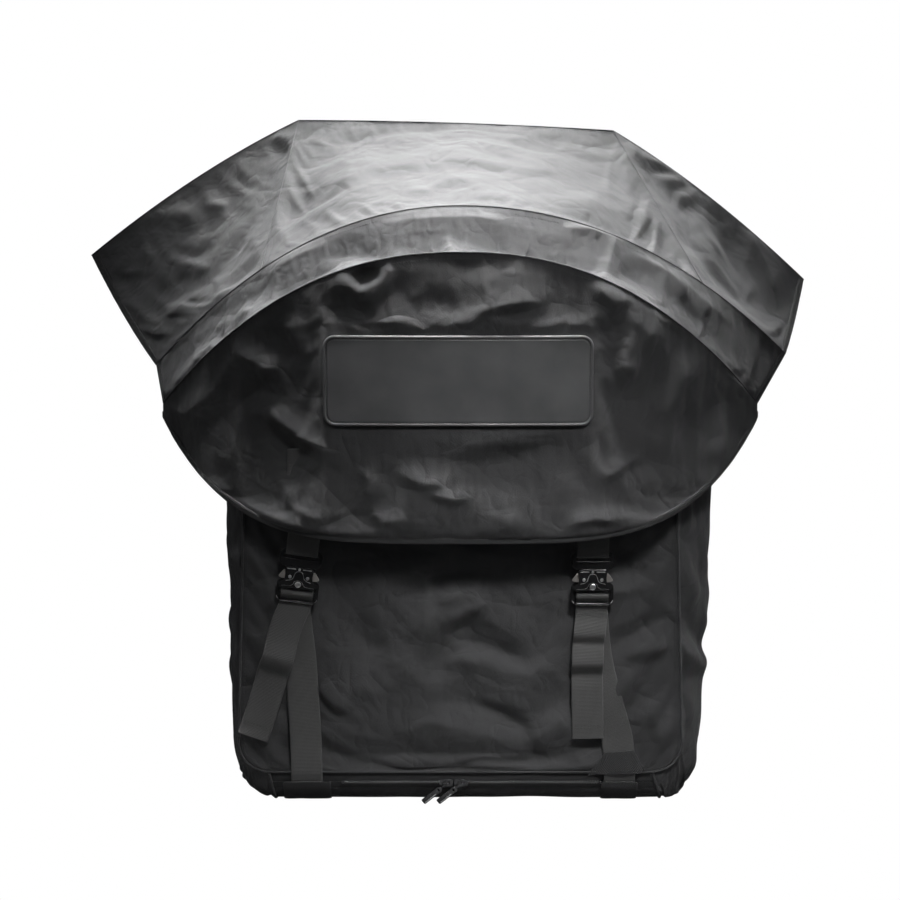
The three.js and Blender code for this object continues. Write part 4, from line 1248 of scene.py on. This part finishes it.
# a plate with rounded edges: outlines in x and z, its front face at y = face. Returns its
# points and faces
def plateMesh(outlines, face, thick, bevel, resolution=2):
    curve = bpy.data.curves.new("outline", "CURVE")
    curve.dimensions = "2D"
    curve.fill_mode = "BOTH"
    curve.extrude = thick / 2 - bevel
    curve.bevel_depth = bevel
    curve.bevel_resolution = resolution
    curve.offset = -bevel
    for outline in outlines:
        spline = curve.splines.new("POLY")
        spline.points.add(len(outline) - 1)
        for point, (x, z) in zip(spline.points, outline):
            point.co = (x, z, 0, 1)
        spline.use_cyclic_u = True
    temp = bpy.data.objects.new("outline", curve)
    bpy.context.scene.collection.objects.link(temp)
    graph = bpy.context.evaluated_depsgraph_get()
    made = bpy.data.meshes.new_from_object(temp.evaluated_get(graph))
    points = [Vector((v.co.x, face + thick / 2 + v.co.z, v.co.y)) for v in made.vertices]
    faces = [tuple(p.vertices) for p in made.polygons]
    bpy.data.objects.remove(temp)
    bpy.data.curves.remove(curve)
    bpy.data.meshes.remove(made)
    return points, faces


# an outline with each corner rounded
def rounded(outline, radius, steps=4):
    out = []
    count = len(outline)
    for i in range(count):
        before, corner, after = (Vector(outline[(i + k) % count]) for k in (-1, 0, 1))
        to, on = before - corner, after - corner
        reach = min(radius, to.length * 0.45, on.length * 0.45)
        a, b = corner + to.normalized() * reach, corner + on.normalized() * reach
        for k in range(steps + 1):
            t = k / steps
            p = a * (1 - t) ** 2 + corner * 2 * t * (1 - t) + b * t ** 2
            out.append((p.x, p.y))
    return out


def mirrored(half):
    return half + [(-x, z) for x, z in reversed(half)]


# a line from one side over a middle point to the other side
def arch(half, top):
    return half + [top] + [(-x, z) for x, z in reversed(half)]


def rect(x0, z0, x1, z1):
    return [(x0, z0), (x1, z0), (x1, z1), (x0, z1)]


def joined(name, parts, material, matrix, smooth=True):
    points, faces = [], []
    for some, sides in parts:
        base = len(points)
        points += [matrix @ p for p in some]
        faces += [tuple(base + i for i in side) for side in sides]
    obj = meshObject(name, points, faces, material, None, smooth)
    outward(obj.data)
    if smooth:
        obj.data.set_sharp_from_angle(angle=math.radians(38))
    return obj


# a thin round line through points, as points and faces
def wire(points, radius, sides=6, closed=False):
    out, faces = [], []
    count = len(points)
    for k, p in enumerate(points):
        before = points[(k - 1) % count] if closed or k else p
        after = points[(k + 1) % count] if closed or k < count - 1 else p
        run = (after - before).normalized()
        side = run.cross(Vector((0, 1, 0)))
        side = side.normalized() if side.length > 1e-4 else Vector((1, 0, 0))
        up = side.cross(run)
        for i in range(sides):
            turn = 2 * math.pi * i / sides
            out.append(p + side * (radius * math.cos(turn)) + up * (radius * math.sin(turn)))
    for k in range(count if closed else count - 1):
        for i in range(sides):
            j = (i + 1) % sides
            m = (k + 1) % count
            faces.append((k * sides + i, k * sides + j, m * sides + j, m * sides + i))
    if not closed:
        faces.append(tuple(range(sides)))
        faces.append(tuple((count - 1) * sides + i for i in range(sides)))
    return out, faces


# a domed rivet or screw head standing on y = face
def head(radius, height, face, x, z, slotted=False, turn=0.6):
    rings, sides = 9, 36
    points, faces = [], []
    for r in range(rings):
        share = r / (rings - 1)
        for s in range(sides):
            angle = 2 * math.pi * s / sides
            px, pz = radius * share * math.cos(angle), radius * share * math.sin(angle)
            rise = height * (1 - 0.35 * share ** 2) * (1 - max(0, share - 0.86) * 5)
            if slotted and abs(px * math.sin(turn) + pz * math.cos(turn)) < 0.55:
                rise -= 0.65 * height
            points.append(Vector((x + px, face - rise, z + pz)))
    for r in range(rings - 1):
        for s in range(sides):
            t = (s + 1) % sides
            faces.append((r * sides + s, r * sides + t, (r + 1) * sides + t, (r + 1) * sides + s))
    base = len(points)
    for s in range(sides):
        angle = 2 * math.pi * s / sides
        points.append(Vector((x + radius * math.cos(angle), face + 0.2, z + radius * math.sin(angle))))
    for s in range(sides):
        t = (s + 1) % sides
        faces.append(((rings - 1) * sides + s, (rings - 1) * sides + t, base + t, base + s))
    faces.append(tuple(base + s for s in range(sides)))
    return points, faces


def makeBuckle(word):
    place = holder(word)
    bevel = buckle["bevel"]
    body = rounded(mirrored([(20, -22.5), (25, -17.5), (25, 2), (17.5, 8), (17.5, 21)]), 2.2)
    slot = rounded(rect(-20.5, -19.5, 20.5, -4.4), 2.2)
    parts = [plateMesh([body, slot], -buckle["plate"], buckle["plate"], 0.7, 3)]
    rim = [Vector((x, -buckle["plate"] - 0.1, z)) for x, z in rounded(rect(-21.6, -20.7, 21.6, -3.2), 2.8)]
    parts.append(wire(rim, 0.55, 8, True))
    finished(joined(f"buckle_body_{word}", parts, blackMetal, place), f"buckle_plate_{word}")

    cover = rounded(mirrored([(19.5, -3.2), (23.6, 1.2), (16.6, 6.6), (16.2, 12), (17.2, 20.5),
                              (15.5, 22.4)]), 1.4)
    parts = [plateMesh([cover], coverFace + 0.6, buckle["cover"] - 0.6, bevel, 3)]
    bellShape = rounded(mirrored([(19, -3), (23, 1.2), (13.5, 5.4), (9.5, 6.2), (6.4, 8.6), (5.4, 12.6),
                                  (3.6, 16.6)]), 2.0)
    parts.append(plateMesh([bellShape], coverFace, 1.2, 0.4, 3))
    finished(joined(f"buckle_face_{word}", parts, blackMetal, place), f"buckle_cover_{word}")

    # pale lines along the cover's curves, beside the pin and round the frame's lower edge: painted
    # highlights where the black metal's edges shine
    curl = arch([(-23, 1.2), (-13.5, 5.4), (-9.5, 6.2), (-6.4, 8.6), (-5.4, 12.6), (-3.6, 16.6)],
                (0, 17.6))
    dip = arch([(-21.5, -2.4), (-18, -1.2), (-9, -1.0), (-5.8, 1.5), (-5.0, 4.6)], (0, 6.6))
    route = [Vector((x, coverFace + 0.12, z)) for x, z in rounded(curl, 1.6)][5:-5]
    low = [Vector((x, coverFace + 0.12, z)) for x, z in rounded(dip, 1.4)][5:-5]
    lines = [wire(route, 0.22), wire(low, 0.2)]
    for a, b in ((-14.5, -4.2), (4.2, 14.5)):
        lines.append(plateMesh([rounded(rect(a, 19.2, b, 20.1), 0.3)], coverFace + 0.5, 0.3, 0.1, 1))
    frame = [(23.9, 0.5), (23.9, -17), (19.6, -21.4), (-19.6, -21.4), (-23.9, -17), (-23.9, 0.5)]
    lines.append(wire([Vector((x, -buckle["plate"] - 0.05, z)) for x, z in rounded(frame, 1.5)[5:-5]], 0.3))
    finished(joined(f"buckle_highlight_lines_{word}", lines, highlightAndStripeMetal, place), None)
    screw = joined(f"buckle_screw_head_{word}", [head(3.7, 1.0, coverFace, 0, 1.5, True, 0.7)], brightMetal,
                   place)
    finished(screw, f"buckle_screw_{word}")
    finished(joined(f"buckle_pin_{word}", [head(1.5, 0.6, coverFace + 0.6, 0, 19.6)], brightMetal, place),
             None)
    for side, half in ((-1, "left"), (1, "right")):
        rivet = joined(f"buckle_rivet_head_{word}_{half}",
                       [head(2.0, 0.8, coverFace + 0.6, side * 10.5, 10)], brightMetal, place)
        finished(rivet, f"buckle_rivet_{word}_{half}")
        corners = ((13, 6.5), (20, 6.5), (24, 8), (24, 9.5), (18.6, 17), (13, 17))
        lever = rounded([(side * u, w) for u, w in corners], 1.2)
        made = joined(f"buckle_press_{word}_{half}",
                      [plateMesh([lever], layerOne - buckle["lever"], buckle["lever"], 0.5, 3)], leverMetal,
                      place)
        finished(made, f"buckle_lever_{word}_{half}", f"lever_{word}_{half}")

    tongue = rounded(mirrored([(6.5, -1), (6.5, 18), (12.5, 21.5), (21, 22), (25, 26), (25, 38),
                               (21.5, 42)]), 1.8)
    opening = rounded(rect(-20.5, 32, 20.5, 37.5), 1.6)
    made = joined(f"buckle_tongue_plate_{word}",
                  [plateMesh([tongue, opening], layerOne - buckle["lever"], buckle["lever"], 0.6, 3)],
                  blackMetal, place)
    finished(made, f"buckle_tongue_{word}", f"tongue_{word}")

    stations = spread(60, -20.1, 20.1)
    frames = [(place @ Vector((x, -buckle["plate"] / 2, -10)), place.to_3x3() @ Vector((0, 1, 0)),
               place.to_3x3() @ Vector((0, 0, 1))) for x in stations]
    finished(sweep(f"buckle_roller_{word}", frames, ring(2.95, 24), blackMetal), f"buckle_bar_{word}")


for word in ("right", "left"):
    makeBuckle(word)
say("buckles")

# webbing
strapFar = 0.3 + 0.8  # a gap, then half a strap
strap = {  # a tail's stops are height, place across and how far out, in mm
    "left": {"foot": -185, "loop": 58, "tail": [
        (228, -206, 2.5), (208, -212, 8), (190, -216, 16), (181, -219, 14), (167, -224, 5),
        (156, -227, 3.4), (120, -238, 4.2), (88, -249, 3.2)]},
    "right": {"foot": 192, "loop": 44, "tail": [
        (236, 155, 2), (217, 153, 10), (204, 152, 4), (196, 151.5, 8), (181, 151, 12),
        (167, 151, 3.6), (150, 151.3, 3), (118, 152, 4), (86, 153, 2.8)]},
    "heights": [(84, 0.1), (130, 0.45), (180, 0.8)], "slack": 1.3,
}
alongX = Vector((1, 0, 0))


def onPanel(x, z, lift):
    p = frontFace(x, z)
    return Vector((x, p.y - lift, z))


def onStrip(x, z, lift):
    p, above, below = (bandPoint(1, 2.5, heightShare(h)) for h in (z, z + 0.5, z - 0.5))
    out = Vector((0, below.z - above.z, above.y - below.y)).normalized()
    return Vector((x, p.y + out.y * lift, p.z + out.z * lift))


# on the front panel, clear of its folds
def frontClear(x, z, lift):
    nearest = min(frontTop(onPanel(x + across, z, 0))[0].y for across in (-17, -8, 0, 8, 17))
    return Vector((x, min(nearest, onPanel(x, z, 0).y) - lift, z))


def longStrap(word):
    side = inBuckle(word, 1, 0, 0) - inBuckle(word, 0, 0, 0)
    foot, x = strap[word]["foot"], buckle[word]["x"]
    lift = strapFar + 3.5
    stops = [(onStrip(foot, z, strapFar + more), alongX) for z, more in ((10, 0), (17, 0), (25, 1.6))]
    stops.append((Vector((foot, size["frontY"] - lift, size["seamZ"] - 3)), alongX))
    stops.append((onPanel(foot, size["seamZ"] + 8, lift), alongX))
    for z, share in strap["heights"]:
        across = alongX.lerp(side, 0.5) if share > 0.5 else alongX
        stops.append((frontClear(mix(foot, x, share), z, strapFar + strap["slack"]), across))
    back = 1.6 + 0.3 + strapFar
    stops += [(inBuckle(word, 0, back, w), side) for w in (-32.5, -20.5, -12)]
    wrap = 3 + strapFar
    for turn in (30, 60, 90, 120, 150, 180, 215):
        a = math.radians(turn)
        stops.append((inBuckle(word, 0, -1.3 + wrap * math.cos(a), -10 + wrap * math.sin(a)), side))
    stops.append((inBuckle(word, 0, -1.7, -15.5), side))
    stops.append((inBuckle(word, 0, strapFar - 0.2, -18.9), side))
    stops.append((inBuckle(word, 0, strapFar, -22.5), side))
    low = stops[-1][0]
    tail = strap[word]["tail"]
    lean = Vector((tail[-1][1] - tail[3][1], 0, tail[-1][0] - tail[3][0])).normalized()
    across = Vector((-lean.z, 0, lean.x))
    for k, (z, at, away) in enumerate(tail):
        stops.append((frontClear(at, z, 1.9 + strapFar + away), side.lerp(across, min(1, 0.3 + 0.3 * k))))
    return stops


flapRay = frontRay(bpyPiece("flap_cloth"))
for k, word in enumerate(("left", "right")):
    webbingPiece(f"strap_webbing_{word}", longStrap(word), f"strap_{word}", None, "bag", 0.25, 3.0 + k)
    foot = strap[word]["foot"]
    over = strapFar + 1.6 + 0.3 + 0.3
    rise = ((33, 4.0), (29, 3.2), (24, 2.0), (17, 0), (10, 0), (5, -0.6))
    stops = [(onStrip(foot, z, over + more), alongX) for z, more in rise]
    webbingPiece(f"base_loop_webbing_{word}", stops, f"base_loop_{word}", strap[word]["loop"], "bag", 0.5,
                 7.0 + k, bindingMat)

    side = inBuckle(word, 1, 0, 0) - inBuckle(word, 0, 0, 0)
    rear, front = layerOne + strapFar, layerOne - buckle["lever"] - strapFar
    under, clear = 42 - 4.5 - strapFar, 42 + 24 + 6
    turnBack = ((rear, clear), (rear, under + 4), (rear, under + 0.8), (rear - 0.8, under),
                (front + 0.8, under), (front, under + 0.8), (front, under + 4), (front, clear))
    stops = [(inBuckle(word, 0, y, w), side) for y, w in turnBack]
    start = stops[-1][0]
    for a, share in ((0.35, 0.32), (0.7, 0.58), (0.92, 0.82), (1, 1)):
        z = start.z + share * 95
        u = start.x / lid["flapHalf"]
        high, low = flapSeamPoint(u).z, hemPoint(u).z
        inside = flapPoint(u, (high - z) / (high - low)).y + 1.6 + strapFar + 3.5
        inside = max(inside, flapRay((start.x, 0, z))[0].y + 3.2 + strapFar)
        stops.append((Vector((start.x, mix(start.y, inside, a), z)), alongX))
    piece = webbingPiece(f"lid_strap_webbing_{word}", stops, f"lid_strap_{word}", None, "bag", 0.1,
                         11.0 + k)
    lean = inBuckle(word, 0, 0, 1) - inBuckle(word, 0, 0, 0)
    reach = (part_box(f"lid_strap_{word}")[1][2] / mm - buckle[word]["z"]) / lean.z
    held = inBuckle(word, 0, 0, reach) * mm
    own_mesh(piece)
say("webbing")

# the turned-over piece at the right strap's foot
fold = {"x": 191, "top": 70, "low": 41, "halfTop": 17.5, "halfLow": 36, "over": 7.8, "beside": 2.4}


def foldPoint(u, v):
    x = fold["x"] - 2 * v + u * mix(fold["halfTop"], fold["halfLow"], v)
    z = mix(fold["top"], fold["low"], v) - 2.5 * u * u * v + 1.5 * u
    onStrap = ease(clamp((31 - abs(x - strap["right"]["foot"])) / 12))
    return onPanel(x, z, mix(fold["beside"], fold["over"], onStrap) + 1.2 * math.sin(5 * u + 1) * v)


panel("strap_fold_right", foldPoint, spread(40, -1, 1), spread(18), None,
      {"crease": 0.6, "seed": 21.0, "slot": "webbing", "thick": 1.2}, bindingMat)

# stitched strap ends
for word in ("left", "right"):
    tail = strap[word]["tail"]
    end, before = tail[-1], tail[-2]
    a = Vector((end[1], 0, end[0]))
    up = (Vector((before[1], 0, before[0])) - a).normalized()
    across = Vector((up.z, 0, -up.x))
    for reach in (14, 17):
        middle = a + up * reach
        places = [middle + across * k for k in spread(30, -17, 17)]
        row = [Vector((p.x, size["frontY"] - 40, p.z)) for p in places]
        dashes(f"tail_stitches_{word}_{reach}", row, frontRay(bpyPiece(f"strap_webbing_{word}")),
               material=threadMat)


# zip
chain = {"left": -140, "right": 168, "z": 29, "pitch": 1.55, "meet": -8}
zipY = bandPoint(-1, 2.5, heightShare(chain["z"] + 2.2)).y - 0.3 - 1.2
for name, low, high, node in (("zip_cloth_upper", 0.0, zipShare["low"], "zip_tape_upper"),
                              ("zip_cloth_lower", zipShare["low"], zipShare["high"], "zip_tape_lower")):
    panel(name, basePoint, spread(120, -1, 1), spread(12, low, high), node,
          {"crease": 0.5, "seed": 12.0, "slot": "binding_tape", "thick": 1.0}, tapeMat)


def teeth():
    points, faces = [], []
    count = int((chain["right"] - chain["left"]) / chain["pitch"])
    for k in range(count):
        x = chain["left"] + (k + 0.5) * chain["pitch"]
        side = 1 if k % 2 else -1
        y = zipY + 0.3 * noise.noise(Vector((x * 0.03, 0, 7)))
        a = Vector((x, y, chain["z"] + side * 1.95))
        b = Vector((x + 0.15, y - 0.25, chain["z"] - side * 0.75))
        tooth, toothFaces = wire([a, a.lerp(b, 0.3) + Vector((0, -0.35, 0)),
                                  a.lerp(b, 0.75) + Vector((0, -0.4, 0)), b], 0.55, 8)
        base = len(points)
        points += tooth
        faces += [tuple(base + i for i in face) for face in toothFaces]
    obj = meshObject("zip_coil", points, faces, zipPlastic)
    outward(obj.data)
    return obj


finished(teeth(), "zip_teeth")
for word, x in (("left", chain["left"] - 1.8), ("right", chain["right"] + 1.8)):
    stop = joined(f"zip_end_{word}", [plateMesh([rounded(rect(-1.5, -2, 1.5, 2), 0.8)], 0, 2.2, 0.5, 3)],
                  zipMetal, Matrix.Translation(Vector((x, zipY - 1.2, chain["z"]))))
    finished(stop, f"zip_stop_{word}")

sliderFace = zipY - 1.2 - 0.3 - 2
bailBar = sliderFace - 5 + 0.75
for word, side in (("left", -1), ("right", 1)):
    place = Matrix.Translation(Vector((chain["meet"] + side * 9, 0, chain["z"])))
    corners = ((8.5, -3.2), (1, -4.9), (-7, -4.9), (-8.5, -3.6), (-8.5, 3.6), (-7, 4.9), (1, 4.9),
               (8.5, 3.2))
    wedge = rounded([(side * x, z) for x, z in corners], 1.6)
    parts = [plateMesh([wedge], sliderFace, 2.0, 0.7, 3)]
    legs = []
    for k in (-1, 1):
        x = k * 3.75
        legs.append([Vector((x, sliderFace + 0.6, 0)), Vector((x, sliderFace - 2.6, 0)),
                     Vector((x * 0.92, sliderFace - 3.9, 0)), Vector((x * 0.7, bailBar, 0)),
                     Vector((0, bailBar, 0))])
    route = legs[0] + list(reversed(legs[1]))[1:]
    parts.append(wire(route, 0.75, 10))
    finished(joined(f"zip_runner_{word}", parts, zipMetal, place), f"zip_slider_{word}",
             f"slider_{word}")

    hinge = Matrix.Translation(Vector((chain["meet"] + side * 9, bailBar, chain["z"])))
    turn = Matrix.Rotation(math.radians(90 - 39), 4, "Y")
    eye = [Vector((0, 2.3 * math.cos(t), 2.3 * math.sin(t))) for t in spread(21, 0, 2 * math.pi)[:-1]]
    stub = [Vector((0, 0, -2.4)), Vector((0, 0, -3.2)), turn @ Vector((0, 0, -4.6)),
            turn @ Vector((0, 0, -8.5))]
    tab = rounded([(-3.5, -36), (3.5, -36), (3.5, -9.5), (1.6, -7), (-1.6, -7), (-3.5, -9.5)], 1.8)
    hole = rounded(rect(-1.6, -12.8, 1.6, -10.6), 0.9)
    tabParts = plateMesh([tab, hole], -1.0, 2.0, 0.6, 3)
    parts = [wire(eye, 0.72, 10, True), wire(stub, 1.0, 10), ([turn @ p for p in tabParts[0]], tabParts[1])]
    finished(joined(f"zip_tab_{word}", parts, zipMetal, hinge), f"zip_pull_{word}",
             f"pull_{word}")
    stripe = plateMesh([rounded(rect(1.4, -34, 2.3, -17), 0.4)], -1.15, 0.3, 0.1, 1)
    finished(joined(f"zip_tab_line_{word}", [([turn @ p for p in stripe[0]], stripe[1])], highlightAndStripeMetal, hinge),
             None, f"pull_{word}")
say("zip")


# patch: a moulded plate with a raised rim, a groove and a row of stitches in it. First, how far
# a place lies inside the patch's edge
def patchDepth(x, z):
    corner = patch["corner"]
    ax, az = abs(x) - (patch["width"] / 2 - corner), abs(z) - (patch["height"] / 2 - corner)
    outside = math.hypot(max(ax, 0), max(az, 0)) + min(max(ax, az), 0)
    return corner - outside


# height over the patch's back, from its edge inwards: a round rim, a groove, and the field
def patchRise(d):
    if d < 1.3:
        return 0.9 + 2.1 * math.sqrt(max(0, 1 - (1 - clamp(d / 1.3)) ** 2))
    if d < 2.9:
        return 3.0
    if d < 3.4:
        return mix(3.0, 1.5, ease((d - 2.9) / 0.5))
    if d < 4.6:
        return 1.5
    return mix(1.5, 2.35, ease((d - 4.6) / 0.8))


def onFlap(x, z, lift):
    u = x / lid["flapHalf"]
    high, low = flapSeamPoint(u).z, hemPoint(u).z
    p = flapPoint(u, (high - z) / (high - low))
    return Vector((x, p.y - lift, z))


def patchHalf(x):
    over = max(0, abs(x) - (patch["width"] / 2 - patch["corner"]))
    return patch["height"] / 2 - patch["corner"] + math.sqrt(max(0, patch["corner"] ** 2 - over ** 2))


def makePatch():
    half = patch["width"] / 2
    near = [0, 0.06, 0.15, 0.3, 0.5, 0.8, 1.15, 1.6, 2.2, 2.8, 3.0, 3.2, 3.4, 3.8, 4.3, 4.6, 4.8, 5.1, 5.4,
            6, 7, 8, 9.5, 11, 12.5, 14, 17, 21, 26, 32]
    xs = [-half + d for d in near] + spread(60, -half + 36, half - 36) + [half - d for d in reversed(near)]
    zShare = [0, 0.001, 0.004, 0.008, 0.014, 0.02, 0.028, 0.038, 0.048, 0.054, 0.058, 0.062, 0.066, 0.073,
              0.082, 0.088, 0.094, 0.1, 0.108, 0.125, 0.15, 0.19, 0.25, 0.33, 0.42]
    zs = [-1 + 2 * s for s in zShare] + [0] + [1 - 2 * s for s in reversed(zShare)]
    columns = len(zs)
    front, back = [], []
    for x in xs:
        tall = patchHalf(x)
        for s in zs:
            z = s * tall
            rise = patchRise(max(0, patchDepth(x, z)))
            rise += 0.12 * noise.noise(Vector((x * 0.03, z * 0.03, 4)))
            place = patch["x"] + x, patch["z"] + z
            front.append(onFlap(*place, 0.9 + rise))
            back.append(onFlap(*place, 0.5))
    points = front + back
    half = len(front)
    faces = []
    rows = len(xs)
    for i in range(rows - 1):
        for j in range(columns - 1):
            faces.append((i * columns + j, (i + 1) * columns + j, (i + 1) * columns + j + 1,
                          i * columns + j + 1))
            faces.append((half + i * columns + j, half + i * columns + j + 1,
                          half + (i + 1) * columns + j + 1, half + (i + 1) * columns + j))
    border = [(i, 0) for i in range(rows)] + [(rows - 1, j) for j in range(1, columns)]
    border += [(i, columns - 1) for i in range(rows - 2, -1, -1)]
    border += [(0, j) for j in range(columns - 2, 0, -1)]
    for (i, j), (m, n) in zip(border, border[1:] + border[:1]):
        a, b = i * columns + j, m * columns + n
        faces.append((a, half + a, half + b, b))
    obj = meshObject("patch_plate", points, faces, patchPvc)
    outward(obj.data)
    return finished(obj, "patch")


makePatch()
groove = []
inset = 4.0
corner = patch["corner"] - inset
for sx, sz, start in ((1, 1, 0), (-1, 1, 90), (-1, -1, 180), (1, -1, 270)):
    for k in range(9):
        a = math.radians(start + k * 90 / 8)
        groove.append((sx * (patch["width"] / 2 - patch["corner"]) + corner * math.cos(a),
                       sz * (patch["height"] / 2 - patch["corner"]) + corner * math.sin(a)))
groove.append(groove[0])
route = []
for (x0, z0), (x1, z1) in zip(groove, groove[1:]):
    for t in spread(12)[:-1]:
        route.append(onFlap(patch["x"] + mix(x0, x1, t), patch["z"] + mix(z0, z1, t), 0.9 + 1.5))
dashes("patch_stitches", route, None, 2.2, 1.3, 0.4, 0.1, threadMat, "bag", Vector((0, -1, 0)))
say("patch")
